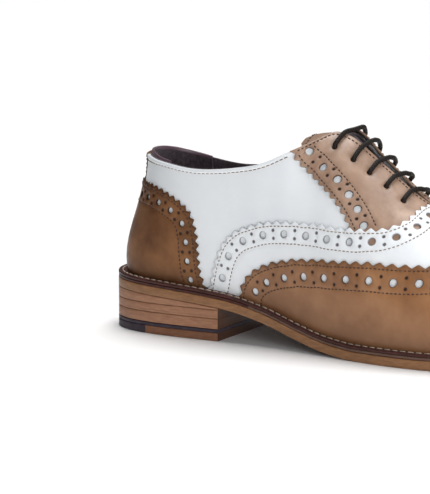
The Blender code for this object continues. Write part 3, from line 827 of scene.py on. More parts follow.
# %% [markdown]
# ## Flat charts
# To cut a panel that passes over the heel or the ridge, both sides of the shoe have to lie on one
# flat sheet. A chart does that: the heel chart counts round backwards on the outer side, and the
# ridge chart counts rise on past 1 and down the inner side. A hole that is round on the leather is
# an ellipse on the chart, worked out from how the chart stretches there.

# %% Charts


def heel_chart(ab):
    return ab[:, 0] > 0, np.clip(np.abs(ab[:, 0]), 0, 1), np.clip(ab[:, 1], 0, 1)


def ridge_chart(ab):
    inner = ab[:, 1] > 1
    return inner, np.clip(ab[:, 0], 0, 1), np.clip(np.where(inner, 2 - ab[:, 1], ab[:, 1]), 0, 1)


def side_chart(inner):
    """A chart of one side alone."""
    return lambda ab: (np.full(len(ab), inner), np.clip(ab[:, 0], 0, 1), np.clip(ab[:, 1], 0, 1))


outer_chart = side_chart(False)
inner_chart = side_chart(True)


def on_chart(chart, line, inner):
    """A line of round and rise on one side, as it lies on a chart."""
    if chart is heel_chart:
        return line * (1.0 if inner else -1.0, 1.0)
    if chart is ridge_chart and inner:
        return np.column_stack([line[:, 0], 2 - line[:, 1]])
    return line


def disc(chart, centre, radius, count):
    """A circle of so many mm on the leather, as points of the chart."""
    steps = np.diag([0.001, 0.004])
    probe = np.vstack([centre + steps, centre - steps])
    places = on_upper(*chart(probe))
    pull = (places[:2] - places[2:]) / (2 * np.diag(steps))[:, None]
    root = np.linalg.cholesky(pull @ pull.T)
    angle = np.linspace(0, 2 * np.pi, count, endpoint=False)
    circle = np.stack([np.cos(angle), np.sin(angle)]) * radius
    return centre + np.linalg.solve(root.T, circle).T


sample_hole = disc(ridge_chart, np.array([0.5, 0.27]), 2.0, 32)
print("a 4 mm hole on the wing is", np.round(np.ptp(sample_hole, axis=0), 4), "on the chart")

# %% [markdown]
# ## Measuring on the flat sheet
# A few plain questions come up again and again on a chart: which points lie inside an outline, how
# far they are from a line or from other points, and where even steps along a line fall. A KD-tree
# finds the nearest point fast, and short sums over whole arrays answer the rest.

# %% Helpers on the flat sheet


def inside(points, loop):
    """Which points lie inside a closed loop."""
    x, y = points[:, :1], points[:, 1:]
    ax, ay = loop.T
    bx, by = np.roll(loop, -1, axis=0).T
    rise = np.where(by == ay, 1.0, by - ay)
    crossed = ((ay > y) != (by > y)) & (x < (bx - ax) * (y - ay) / rise + ax)
    return crossed.sum(axis=1) % 2 == 1


def clearance(points, loop, closed=True):
    """Distance from each point to a line."""
    ends = np.roll(loop, -1, axis=0) if closed else loop[1:]
    best = np.full(len(points), np.inf)
    for start, end in zip(loop, ends):
        way = end - start
        f = np.clip((points - start) @ way / max(way @ way, 1e-12), 0, 1)[:, None]
        best = np.minimum(best, ((points - start - f * way) ** 2).sum(axis=1))
    return np.sqrt(best)


def even_steps(loop, step):
    """A closed loop with its corners kept and no gap longer than a step."""
    pieces = []
    for start, end in zip(loop, np.roll(loop, -1, axis=0)):
        count = max(1, math.ceil(np.linalg.norm(end - start) / step))
        pieces.append(start + (end - start) * np.linspace(0, 1, count, endpoint=False)[:, None])
    return np.concatenate(pieces)


def spaced(line, step):
    """Points at even steps along a line."""
    way = run_along(line)
    wanted = np.linspace(0, way[-1], max(2, round(way[-1] / step) + 1))
    return spots(line, way, wanted)


def nearest(points, others):
    """Distance from each point to the nearest of some others."""
    if not len(others):
        return np.full(len(points), np.inf)
    tree = KDTree(len(others))
    for k, (x, y) in enumerate(others):
        tree.insert((x, y, 0.0), k)
    tree.balance()
    return np.array([tree.find((x, y, 0.0))[2] for x, y in points])


sample_loop = even_steps(sample_hole * FLAT, 0.1)
print("points round that hole:", len(sample_loop))

# %% [markdown]
# ## The pattern of a panel
# Leather is cut, punched and skived. A Boolean could punch the holes, but hundreds of them are slow
# and leave ragged shading. Here the outline, the holes and the sewing grooves become points on the
# flat chart, and a constrained Delaunay triangulation joins them. Points at an edge lie a little
# lower, so that the edge is rounded, and points along a seam lie lower, where the thread pulls the
# leather in.

# %% Pattern of a panel
OUTLINE_STEP = 1.2
RIM_INSET = 0.5
RIM_CLEAR = 0.33
SEAM_STEP = 1.35
SEAM_HALF = 0.55
SEAM_CLEAR = 0.75
HOLE_CLEAR = 0.7
LATTICE = 3.0
LATTICE_ROW = 0.866
LATTICE_CLEAR = 1.25
PINHOLE_LIMIT = 1.2
HOLE_SIDES = 16
PINHOLE_SIDES = 9
HOLE_LIP = 0.4
HOLE_REACH = 8.0
TOE_LINE = 0.99999 * FLAT[0]
FOOT_LINES = (0.01, 1.9999 * FLAT[1])

# How far points lie below the face of the leather, in mm
EDGE_ROUND = 0.28
RIM_ROUND = 0.03
HOLE_ROUND = 0.2
SEAM_DEPTH = 0.17

# Darkening at a cut edge (rubbing), at a hole and near the foot (partly rubbing, partly painted shade)
# fades over mm or a share of the rise
EDGE_FADE = 3.2
HOLE_FADE = 2.2
FOOT_FADE = 0.2
HOLE_RIM_RUB_AND_SHADE = 0.9
HOLE_SHARE = 0.35


class Pattern:
    """A panel's outline, holes and seams as points on its flat chart, each with its depth."""

    def __init__(self, chart, outline):
        loop = even_steps(outline * FLAT, OUTLINE_STEP)
        after = np.roll(loop, -1, axis=0)
        if (loop[:, 0] * after[:, 1] - after[:, 0] * loop[:, 1]).sum() < 0:
            loop = loop[::-1]
        at_toe = loop[:, 0] > TOE_LINE
        uncut = at_toe | (loop[:, 1] < FOOT_LINES[0]) | (loop[:, 1] > FOOT_LINES[1])
        self.chart, self.loop, self.cut = chart, loop, loop[~uncut]
        self.points, self.drops, self.rings = [], [], []
        self.edges = [(k, (k + 1) % len(loop)) for k in range(len(loop))]
        self.add(loop, np.where(uncut, 0.0, EDGE_ROUND))
        way = np.roll(loop, -1, axis=0) - np.roll(loop, 1, axis=0)
        inward = np.column_stack([-way[:, 1], way[:, 0]]) / np.linalg.norm(way, axis=1)[:, None]
        rim = loop + inward * RIM_INSET
        self.add(rim[inside(rim, loop) & (clearance(rim, loop) > RIM_CLEAR) & ~at_toe], RIM_ROUND)

    def add(self, points, drop):
        self.points.append(points)
        self.drops.append(np.broadcast_to(drop, len(points)))

    def punch(self, holes):
        for a, b, radius in holes:
            count = HOLE_SIDES if radius > PINHOLE_LIMIT else PINHOLE_SIDES
            first = sum(len(p) for p in self.points)
            self.edges += [(first + k, first + (k + 1) % count) for k in range(count)]
            self.rings.append(disc(self.chart, np.array([a, b]), radius, count) * FLAT)
            self.add(self.rings[-1], HOLE_ROUND)
            self.add(disc(self.chart, np.array([a, b]), radius + HOLE_LIP, count) * FLAT, 0.0)
        self.hole_points = np.concatenate(self.rings) if self.rings else np.zeros((0, 2))

    def groove(self, seams):
        for seam in seams:
            middle = spaced(seam * FLAT, SEAM_STEP)
            along = np.gradient(middle, axis=0)
            across = np.column_stack([-along[:, 1], along[:, 0]])
            across *= SEAM_HALF / np.linalg.norm(across, axis=1)[:, None]
            for side, depth in ((0.0, SEAM_DEPTH), (-1.0, 0.0), (1.0, 0.0)):
                row = middle + across * side
                clear = clearance(row, self.loop) > SEAM_CLEAR
                clear &= nearest(row, self.hole_points) > HOLE_CLEAR
                self.add(row[inside(row, self.loop) & clear], depth)

    def fill(self):
        """A lattice of points wherever the sheet is still empty."""
        low, high = self.loop.min(axis=0), self.loop.max(axis=0)
        xs = np.arange(low[0], high[0], LATTICE)
        ys = np.arange(low[1], high[1], LATTICE * LATTICE_ROW)
        grid = np.stack(np.meshgrid(xs, ys), -1)
        grid[1::2, :, 0] += LATTICE / 2
        grid = grid.reshape(-1, 2)
        grid = grid[inside(grid, self.loop)]
        grid = grid[nearest(grid, np.concatenate(self.points)) > LATTICE_CLEAR]
        for ring in self.rings:
            grid = grid[~inside(grid, ring)]
        self.add(grid, 0.0)

    def join(self):
        """The sheet's points, their depths and the triangles between them."""
        drops = np.concatenate(self.drops)
        points = [Vector(p) for p in np.concatenate(self.points)]
        made = delaunay_2d_cdt(points, self.edges, [], 0, 1e-4)
        flat = np.array([tuple(p) for p in made[0]])
        triangles = np.array([tuple(f) for f in made[2]])
        drop = np.array([drops[source[0]] if source else 0.0 for source in made[3]])
        middle = flat[triangles].mean(axis=1)
        keep = inside(middle, self.loop)
        for ring in self.rings:
            near = np.abs(middle - ring.mean(axis=0)).max(axis=1) < HOLE_REACH
            keep[np.flatnonzero(near)[inside(middle[near], ring)]] = False
        triangles = triangles[keep]
        used = np.unique(triangles)
        renumber = np.zeros(len(flat), int)
        renumber[used] = np.arange(len(used))
        return flat[used], drop[used], renumber[triangles]

    def burnish_and_shade(self, flat, rise, edge_burn, foot_burn):
        """How dark each point is: rubbed at cut edges; at round holes and near the welt, rubbed and
        painted shade.
        """
        from_edge = clearance(flat, self.cut, closed=False)
        from_hole = nearest(flat, self.hole_points)
        at_edge = edge_burn * np.clip(1 - from_edge / EDGE_FADE, 0, 1) ** 1.5
        at_hole = HOLE_SHARE * edge_burn * np.clip(1 - from_hole / HOLE_FADE, 0, 1) ** 1.5
        # On a hole's rim the edge tone is nearly full: painted shade inside the hole, partly the raw
        # edge's own colour
        burn = np.where(from_hole < 0.1, HOLE_RIM_RUB_AND_SHADE, np.maximum(at_edge, at_hole))
        # Near the welt the panel is darker: partly rubbing, partly painted shade where the leather turns
        # down
        return np.maximum(burn, foot_burn * np.clip(1 - rise / FOOT_FADE, 0, 1) ** 1.3)


print("a lattice point every", LATTICE, "mm, an edge point every", OUTLINE_STEP, "mm")

# %% [markdown]
# ## Laying a panel on the last
# The flat sheet is laid on the last by its chart, once at the height of its face and once at its
# back, and walls close the cut edges and the holes. Large holes go right through, so that the
# leather beneath shows in them. Pinholes are too narrow for that, so a dark disc in each is painted
# shade.

# %% Panel cutter
PANEL = 1.3
SEAT = 0.05
PINHOLE_DEPTH = 0.42
PINHOLE_LAP = 0.06


def no_lift(inner, share, rise):
    return np.zeros(len(share))


def cut_panel(name, chart, outline, holes, seams, finish, slot, nodes,
              seat=SEAT, lift=no_lift, foot_burn=0.5, edge_burn=0.55, thick=PANEL):
    """A leather panel from its outline, holes and seams on a chart, laid on the upper."""
    pattern = Pattern(chart, outline)
    pattern.punch(holes)
    pattern.groove(seams)
    pattern.fill()
    flat, drop, triangles = pattern.join()
    inner, share, rise = chart(flat / FLAT)
    base = seat + lift(inner, share, rise)
    top = on_upper(inner, share, rise, base + thick - drop)
    bottom = on_upper(inner, share, rise, base)
    count = len(flat)
    faces = triangles.tolist()
    directed = {(a, b) for t in faces for a, b in zip(t, t[1:] + t[:1])}
    walls = [(a, b) for a, b in directed if (b, a) not in directed]
    toe = flat[:, 0] > TOE_LINE
    faces += [[a + count, c + count, b + count] for a, b, c in triangles.tolist()]
    faces += [[b, a, a + count, b + count] for a, b in walls if not (toe[a] and toe[b])]
    # The back of a panel takes the full edge tone, so the walls darken towards it: rubbed cut edges,
    # painted shade inside holes
    burnish_and_shade = np.concatenate([pattern.burnish_and_shade(flat, rise, edge_burn, foot_burn), np.ones(count)])
    mesh = make_mesh(name, np.vstack([top, bottom]), faces, weld=0.04, values={"burnish_and_shade": burnish_and_shade})
    add_piece(name, mesh, finish, nodes, sharp=48.0)


def back_pinhole_painted_shade(name, chart, holes, finish, seat=SEAT, lift=no_lift):
    """Dark discs at the bottom of a panel's small holes, painted shade, all in one mesh."""
    points, faces = [], []
    for a, b, radius in holes[holes[:, 2] < PINHOLE_LIMIT]:
        ring = disc(chart, np.array([a, b]), radius + PINHOLE_LAP, PINHOLE_SIDES)
        inner, share, rise = chart(ring)
        base = seat + lift(inner, share, rise) + PANEL - PINHOLE_DEPTH
        faces.append([len(faces) * PINHOLE_SIDES + k for k in range(PINHOLE_SIDES)])
        points.append(on_upper(inner, share, rise, base))
    mesh = make_mesh(name, np.concatenate(points), faces)
    add_piece(name, mesh, finish)
    print(name, len(faces))


print("panels are", PANEL, "mm thick")

# %% [markdown]
# ## Pinking and punching
# Pinking shears cut an edge into small teeth, and punches set the holes at even steps along a line
# beside it. The teeth are a short profile repeated along the edge. The last holes of a row are
# eased, so that one falls just where the two sides of the shoe meet.

# %% Teeth and rows of holes
PINHOLE = 0.8
LAST_HOLES = 5
CROWD_FADE = 1.5
LOWEST_HOLE = 0.035

# Share of a tooth's pitch and of its depth, from one tip to the next
TOOTH_PROFILE = np.array([(0.06, 0.03), (0.43, 0.90), (0.50, 1.0), (0.57, 0.90), (0.94, 0.03)])


def pinked(line, inner, pitch, depth):
    """A line cut into small teeth, whose hollows lie to the side that depth gives."""
    way = distances(line, inner)
    teeth = round(way[-1] / pitch)
    pitch = way[-1] / teeth
    cut = moved(line, inner, depth)
    wanted = (np.arange(teeth)[:, None] + TOOTH_PROFILE[:, 0]).ravel() * pitch
    deep = np.tile(TOOTH_PROFILE[:, 1], teeth)[:, None]
    zigzag = spots(line, way, wanted) * (1 - deep) + spots(cut, way, wanted) * deep
    return np.vstack([line[:1], zigzag, line[-1:]])


def hole_row(line, inner, large, radius, pair_half, skip_end=False):
    """Round, rise and radius of large holes at distances along a line, and of the pairs between."""
    way = distances(line, inner)
    between = (large[:-1] + large[1:]) / 2
    if skip_end:
        large = large[:-1]
    rows = [np.column_stack([spots(line, way, large), np.full(len(large), radius)])]
    for offset in (-pair_half, pair_half):
        pair = spots(moved(line, inner, offset), way, between)
        rows.append(np.column_stack([pair, np.full(len(between), PINHOLE)]))
    rows = np.concatenate(rows)
    return rows[rows[:, 1] > LOWEST_HOLE]


def punched(edge, inner, from_edge, pitch, known, radius, pair_half, crowd):
    """A row of large holes with pairs of pinholes between; its first holes may crowd together."""
    line = beside(edge, inner, from_edge)
    way = distances(line, inner)
    start = way[np.argmin((((line - known) * FLAT) ** 2).sum(axis=1))] % pitch
    count = round((way[-1] - start) / pitch)
    number = np.arange(count + 1)
    ease = np.clip((number - count + LAST_HOLES) / LAST_HOLES, 0, 1)
    large = start + pitch * number
    large += ease * (way[-1] - large[-1]) + crowd * np.exp(-CROWD_FADE * number)
    return hole_row(line, inner, large, radius, pair_half, skip_end=inner)


print("points to a tooth:", len(TOOTH_PROFILE))

# %% [markdown]
# ## Quarters and lining
# Under the panels lies the body of the upper: two white quarters, and a soft lining inside. Both
# are shells between two distances from the last, made as one grid that runs from the toe round the
# outer side, the heel and the inner side, and is welded where its ends meet. A Solidify modifier
# would do the same, but its wall leans where the last is tightly curved.

# %% Quarters and lining
LINING_FROM = 1.25


def last_shell(outside, within, top, columns=150, rows=26):
    """A shell between two offsets of the last, up to a rise that top gives for each round."""
    u = np.linspace(-1, 1, 2 * columns + 1)
    w = np.linspace(0, 1, rows + 1)
    uu, ww = np.meshgrid(u, w, indexing="ij")
    ww = ww * top(1 - np.abs(uu))
    side, share = uu.ravel() > 0, 1 - np.abs(uu.ravel())
    points = np.vstack([on_upper(side, share, ww.ravel(), offset) for offset in (outside, within)])
    index = np.arange(uu.size).reshape(uu.shape)
    quads = np.stack([index[:-1, :-1], index[1:, :-1], index[1:, 1:], index[:-1, 1:]], -1)
    quads = quads.reshape(-1, 4)
    faces = [*quads.tolist(), *(quads[:, ::-1] + uu.size).tolist()]
    has_edge = 1 - np.abs(u) < THROAT + 0.001
    for a in range(len(u) - 1):
        rims = [0]
        if has_edge[a] and has_edge[a + 1]:
            rims.append(rows)
        for row in rims:
            one, two = index[a, row], index[a + 1, row]
            faces.append([one, two, two + uu.size, one + uu.size])
    return points, faces


def suede(name, base, tip):
    """A napped leather: mottled, with a soft sheen and a fine fuzz as bump."""
    finish = Finish(name, Roughness=0.95, Sheen_Weight=0.35, Sheen_Roughness=0.5)
    nap = finish.noise(520.0, 6.0, 0.75)
    fuzz = finish.spread(nap, 0.34, 0.68, 0.0, 0.7)
    patch = finish.spread(finish.noise(90.0, 4.0), 0.35, 0.65, 0.0, 0.3)
    finish.paint(finish.mix(finish.math("ADD", fuzz, patch), base, tip))
    finish.relief(nap, 0.7, 0.6)
    return finish.material


LINING = suede("lining suede", tone(30, 22, 26), tone(92, 80, 88))

# The quarters stop a little short of the throat, where the facings cover them
under_facing = smooth(
    (0.0, 0.405, 0.416, 0.440, 0.465, 0.66, 0.682, 1.0),
    (1.0, 1.0, 0.985, 0.985, 0.94, 0.94, 1.0, 1.0),
)
whole = smooth((0.0, 1.0), (1.0, 1.0))
quarter_shell = last_shell(0.0, -LINING_FROM + SEAT, under_facing)
lining_shell = last_shell(-LINING_FROM, -WALL, whole, columns=110, rows=20)
quarters = make_mesh("quarters", *quarter_shell, weld=0.02)
add_piece("quarters", quarters, WHITE, ["upper"], sharp=60.0)
lining = make_mesh("lining", *lining_shell, weld=0.02)
add_piece("lining", lining, LINING, sharp=60.0)

# %% [markdown]
# ## Topline
# At the collar the quarter leather is folded over into a soft bead, and the back strip is folded
# over with it. Each is a small section swept along the topline. Curves with a bevel object could
# sweep it too, but the frame of a curve twists, while the last gives the outward and upward
# directions at every spot.

# %% Topline bead
# Mm outward and mm upward from the topline, round each section
BEAD = [
    (0.05, -2.2), (0.40, -1.9), (0.55, -1.1), (0.45, -0.4), (0.10, 0.05),
    (-0.45, 0.15), (-0.95, 0.0), (-1.15, -0.6), (-1.10, -2.2),
]
STRIP_BEAD = [
    (0.35, -2.2), (0.95, -2.0), (1.10, -1.0), (0.90, 0.0), (0.30, 0.50),
    (-0.40, 0.60), (-0.95, 0.35), (-1.15, -0.6), (-1.10, -2.2),
]
LINING_BEAD = [
    (-1.20, -2.0), (-1.12, 0.05), (-1.35, 0.38), (-1.80, 0.40), (-2.15, 0.05), (-2.15, -2.0),
]
STRIP_FOOT_HALF = 0.036
STRIP_TOP_HALF = 0.058
FACING_CORNER = 0.406


def round_heel(reach, count):
    """Sides and rounds from the outer side over the heel to the inner side."""
    share = np.linspace(-reach, reach, 2 * count + 1)
    return share > 0, np.abs(share)


def topline_frame(inner, share):
    """Place, outward and upward directions along the topline."""
    top = np.ones(len(share))
    place = last_point(inner, share, top)
    out = face_normal(inner, share, top)
    up = place - last_point(inner, share, top - 0.01)
    other = last_point(~inner, share, top) - last_point(~inner, share, top - 0.01)
    up = np.where((share < 1e-5)[:, None], up + other, up)
    up -= out * (up * out).sum(axis=1)[:, None]
    return place, out, up / np.linalg.norm(up, axis=1)[:, None]


def add_swept(name, section_points, finish):
    """A closed piece from lines of points, one for each corner of its section."""
    mesh = make_mesh(name, *skin(np.stack(section_points, axis=1), around=True), close=True)
    add_piece(name, mesh, finish, sharp=60.0)


def sweep_topline(name, section, inner, share, finish, slot):
    place, out, up = topline_frame(inner, share)
    add_swept(name, [place + out * n + up * u for n, u in section], finish)


for label, inner_side in (("outer", False), ("inner", True)):
    bead_share = np.linspace(FACING_CORNER, STRIP_TOP_HALF - 0.001, 110)
    bead_side = np.full(len(bead_share), inner_side)
    sweep_topline(f"topline_fold_{label}", BEAD, bead_side, bead_share, WHITE, "white_leather")
strip_around = round_heel(STRIP_TOP_HALF, 24)
sweep_topline("back_strip_fold", STRIP_BEAD, *strip_around, COUNTER_CALF, "tan_leather")
rim_around = round_heel(FACING_CORNER + 0.02, 150)
sweep_topline("lining_fold", LINING_BEAD, *rim_around, LINING, "insole_leather")

# %% [markdown]
# ## Heel grip
# Inside the heel a soft grip stands a little above the edge, and smooth leather binds it along its
# top. Both are swept round the heel as the topline is, but they rise in the middle and sink towards
# their ends.

# %% Heel grip
GRIP_END = 0.17
GRIP_LIFT = 2.6
GRIP_FADE = 0.12
GRIP_FACES = (-1.95, -3.0)
GRIP_TOP = (-2.05, -2.95)
GRIP_RISES = (0.74, 0.82, 0.90, 0.96, 1.0)
GRIP_BINDING = [
    (-1.9, -1.2), (-1.95, 0.35), (-2.2, 0.85), (-2.65, 1.0), (-3.05, 0.75), (-3.3, 0.2), (-3.25, -1.2),
]
GRIP = calf("heel grip", tone(108, 84, 96), tone(82, 62, 72), tone(56, 42, 48), 0.36)
grip_side, grip_share = round_heel(GRIP_END, 60)
grip_lift = GRIP_LIFT * np.clip((GRIP_END + 0.03 - grip_share) / GRIP_FADE, 0, 1)[:, None]
grip_place, grip_out, grip_up = topline_frame(grip_side, grip_share)
grip_outside, grip_inside = (
    [on_upper(grip_side, grip_share, np.full(len(grip_share), w), face) for w in GRIP_RISES]
    for face in GRIP_FACES
)
grip_crest = [grip_place + grip_out * n + grip_up * (0.1 + grip_lift * 0.6) for n in GRIP_TOP]
add_swept("heel_grip", grip_outside + grip_crest + grip_inside[::-1], LINING)
add_swept("heel_grip_binding", [
    grip_place + grip_out * n + grip_up * (u * 0.9 + grip_lift * 0.72) for n, u in GRIP_BINDING
], GRIP)

# %% [markdown]
# ## Overlays
# The brogue's overlays each have a pinked edge, a row of large holes with pairs of pinholes between
# them, and a seam on either side of the row. Where one panel laps another it is lifted by the
# leather under it. One function makes an overlay from its edge and its rows in two short tables.

# %% Overlay helpers
SIDES = (False, True)
TOOTH_DEPTH = 1.9
LAP_RAMP = 4.0

# Mm from the edge to the two seams
SEAMS = {"counter": (3.0, 12.2), "vamp": (-2.8, -11.9), "wing": (-3.3, -14.6)}

# Mm from the edge to the row and from hole to hole, a spot where there is one, its radius, half the
# gap of a pair of pinholes, and how far the first hole moves towards the second
HOLE_ROWS = {
    "counter": (7.7, 10.4, (0.220, 0.368), 1.7, 2.3, 0.0),
    "vamp": (-7.0, 13.3, (0.405, 0.487), 2.0, 2.1, 0.0),
    "wing": (-9.4, 13.4, (0.443, 0.250), 2.05, 2.75, 4.6),
}
PANEL_SEAMS = {}


def lift_over(loop, amount=PANEL):
    """How far a panel is raised by the edge of a piece that lies under it."""
    flat_loop = loop * FLAT

    def lift(a, b):
        points = np.column_stack([a, b]) * FLAT
        deep = np.where(inside(points, flat_loop), LAP_RAMP, LAP_RAMP - clearance(points, flat_loop))
        f = np.clip(deep / LAP_RAMP, 0, 1)
        return amount * f * f * (3 - 2 * f)

    return lift


def joined(chart, outer_line, inner_line):
    """Two sides of an outline, out along the outer side and back along the inner one."""
    back = on_chart(chart, inner_line, True)[::-1][1:]
    return np.vstack([on_chart(chart, outer_line, False), back])


def pinked_sides(chart, edge, pitch, depth):
    return joined(chart, *[pinked(edge, s, pitch, depth) for s in SIDES])


def overlay(label, node, chart, edge, outline, finish, shade, slot, seat=SEAT, lift=no_lift, **burns):
    """An overlay with its seams and holes; shade is the material of the painted shade in its pinholes."""
    seams = [on_chart(chart, beside(edge, s, aside), s) for s in SIDES for aside in SEAMS[label]]
    holes = []
    for s in SIDES:
        row = punched(edge, s, *HOLE_ROWS[label])
        holes.append(np.column_stack([on_chart(chart, row[:, :2], s), row[:, 2]]))
    holes = np.vstack(holes)
    cut_panel(f"{label}_leather", chart, outline, holes, seams, finish, slot, [node], seat, lift, **burns)
    back_pinhole_painted_shade(f"{label}_pinhole_painted_shade", chart, holes, shade, seat, lift)
    PANEL_SEAMS[label] = (chart, seams, seat, lift)


print("overlays with rows of holes:", list(HOLE_ROWS))

# %% [markdown]
# ## Back strip and counter
# A narrow strip covers the seam at the back of the heel, and the counter lies over its foot. Both
# pass round the heel, so they are cut on the heel chart. The strip is skived thin, so the counter
# rises over it only a little.

# %% Back strip and counter
STRIP = 0.6
STRIP_FOOT = 0.78
STRIP_SEAM = 0.007
STRIP_SEAM_RISES = (0.79, 0.975)
COUNTER_TOOTH = 4.8
STRIP_LOOP = np.array([
    (-STRIP_FOOT_HALF, STRIP_FOOT), (STRIP_FOOT_HALF, STRIP_FOOT),
    (STRIP_TOP_HALF, 1.0), (-STRIP_TOP_HALF, 1.0),
])
over_strip = lift_over(STRIP_LOOP, STRIP)


def counter_lift(inner, share, rise):
    return over_strip(np.where(inner, share, -share), rise)


strip_halves = np.array([STRIP_FOOT_HALF, STRIP_TOP_HALF]) - STRIP_SEAM
strip_seams = [np.column_stack([s * strip_halves, STRIP_SEAM_RISES]) for s in (-1, 1)]
cut_panel(
    "back_strip_leather", heel_chart, STRIP_LOOP, [], strip_seams,
    COUNTER_CALF, "tan_leather", ["back_strip"], thick=STRIP,
)
PANEL_SEAMS["back_strip"] = (heel_chart, strip_seams, SEAT + STRIP - PANEL, no_lift)
overlay(
    "counter", "counter", heel_chart, COUNTER,
    pinked_sides(heel_chart, COUNTER, COUNTER_TOOTH, TOOTH_DEPTH),
    COUNTER_CALF, TAN_PINHOLE_PAINTED_SHADE, "tan_leather", lift=counter_lift,
)

# %% [markdown]
# ## Facings
# The facings carry the eyelets, and their lower ends pass under the vamp. The outer facing is cut
# back along a slit, where the lace draws it open. Their holes don't follow an edge at even steps,
# so the row has a table of its own.

# %% Facings
FACING_TOOTH = 5.1
FACING_HOLE = 2.2
FACING_PAIR_HALF = 2.3
FACING_LAP = np.array([
    (0.556, 0.440), (0.580, 0.430), (0.610, 0.480), (0.645, 0.570), (0.680, 0.720),
    (0.700, 0.900), (0.698, 0.985), (0.684, 0.990),
])

# Round and rise of the outer eyelets, and how much further round the inner ones are
EYELETS = [(0.475, 0.859), (0.518, 0.841), (0.555, 0.849), (0.593, 0.841), (0.630, 0.826)]
INNER_AHEAD = [0.0056, 0.0020, 0.0044, 0.0064, 0.0080]
EYELET_HOLE = 1.4
THROAT_SEAM = 0.024
THROAT_SHARES = np.linspace(0.412, 0.676, 80)


def facing_outline(inner):
    """The outer facing is cut back along the slit, where the lace draws it open."""
    top = [(THROAT, 1.0)] if inner else SLIT
    return np.vstack([pinked(FACING_SIDE, inner, FACING_TOOTH, TOOTH_DEPTH), FACING_LAP, top])


for label, inner_side, chart in (("outer", False, outer_chart), ("inner", True, inner_chart)):
    row_way = distances(FACING_ROW, inner_side)
    at_holes = [row_way[np.argmin(np.abs(FACING_ROW[:, 0] - share))] for share, _ in FACING_HOLES]
    rows = hole_row(FACING_ROW, inner_side, np.array(at_holes), FACING_HOLE, FACING_PAIR_HALF)
    ahead = INNER_AHEAD if inner_side else np.zeros(len(EYELETS))
    eyelets = np.array([(share + d, rise, EYELET_HOLE) for (share, rise), d in zip(EYELETS, ahead)])
    throat_rise = np.interp(THROAT_SHARES, SLIT[::-1, 0], SLIT[::-1, 1], left=1.0)
    if inner_side:
        throat_rise = np.ones(len(THROAT_SHARES))
    throat = np.column_stack([THROAT_SHARES, throat_rise - THROAT_SEAM])
    facing_seams = [*[edge_curve(table) for table in FACING_SEAMS], throat]
    cut_panel(
        f"facing_{label}_leather", chart, facing_outline(inner_side), np.vstack([rows, eyelets]),
        facing_seams, FACING, "facing_leather", [f"facing_{label}"], foot_burn=0.0, edge_burn=0.15,
    )
    back_pinhole_painted_shade(f"facing_{label}_pinhole_painted_shade", chart, rows, TAN_PINHOLE_PAINTED_SHADE)
    PANEL_SEAMS[f"facing_{label}"] = (chart, facing_seams, SEAT, no_lift)

# %% [markdown]
# ## Vamp and wing
# Both cross the ridge of the shoe, so they are cut on the ridge chart. The vamp climbs over the ends
# of the facings, and the wing lies on the vamp, so that white leather shows at the bottom of the
# wing's holes. The wing closes at the toe, where its two sides are welded.

# %% Vamp and wing
VAMP_TOOTH = 5.6
WING_TOOTH = 6.6
WING_SEAT = PANEL + 0.1
VAMP_LAP = -17.0
TOE_END = [(1.0, 2.0), (1.0, 0.0)]
over_facing = lift_over(facing_outline(False))


def vamp_lift(inner, share, rise):
    return over_facing(share, rise)


vamp_laps = [beside(WING, s, VAMP_LAP)[::6].copy() for s in SIDES]
for lap in vamp_laps:
    lap[0, 1] = 0.0
    lap[-1, 1] = 1.0
vamp_outline = np.vstack([
    pinked_sides(ridge_chart, VAMP, VAMP_TOOTH, -TOOTH_DEPTH),
    joined(ridge_chart, *vamp_laps)[::-1],
])
overlay(
    "vamp", "vamp", ridge_chart, VAMP, vamp_outline, VAMP_CALF, WHITE_PINHOLE_PAINTED_SHADE, "white_leather",
    lift=vamp_lift, foot_burn=0.0, edge_burn=0.1,
)
wing_outline = np.vstack([pinked_sides(ridge_chart, WING, WING_TOOTH, -TOOTH_DEPTH), TOE_END])
overlay(
    "wing", "wing_cap", ridge_chart, WING, wing_outline, TAN, TAN_PINHOLE_PAINTED_SHADE, "tan_leather", seat=WING_SEAT
)

# %% [markdown]
# ## Stitches
# A lockstitch shows as a row of short threads that dip into the leather at both ends. Thousands of
# objects would slow Blender down, so one small thread is worked out as an array of points, copied
# along every seam by the seam's own direction and the leather's normal, and all the threads of one
# panel become one mesh.

# %% Stitch helpers
STITCH_PITCH = 2.3
STITCH_LENGTH = 1.6
THREAD = 0.33
FINE_THREAD = 0.27
THREAD_PROUD = 0.75
THREAD_SIDES = 6

# Place along a stitch, share of the thread's radius, and height in radii, at each ring
RINGS = [(-0.5, 0.45, -1.3), (-0.3, 1.0, -0.2), (0.3, 1.0, -0.2), (0.5, 0.45, -1.3)]


def thread_shape(length, radius):
    """One stitch along x: rows of a ring at each end and two between."""
    angle = np.linspace(0, 2 * np.pi, THREAD_SIDES, endpoint=False)
    rows = []
    for along, width, sink in RINGS:
        ring = np.zeros((THREAD_SIDES, 3))
        ring[:, 0] = along * length
        ring[:, 1] = np.cos(angle) * radius * width
        ring[:, 2] = np.sin(angle) * radius * width + sink * radius
        rows.append(ring)
    points, quads = skin(np.array(rows), around=True)
    caps = [list(range(THREAD_SIDES))[::-1], list(range(len(points) - THREAD_SIDES, len(points)))]
    return points, quads.tolist() + caps


def stitch_places(line, normals, pitch):
    """Centres, directions and normals of stitches spaced evenly along a line in space."""
    way = run_along(line)
    count = int(way[-1] / pitch)
    wanted = (np.arange(count) + 0.5) * way[-1] / max(count, 1)
    rows = (line, np.gradient(line, axis=0), normals)
    return [np.column_stack([np.interp(wanted, way, row[:, k]) for k in range(3)]) for row in rows]


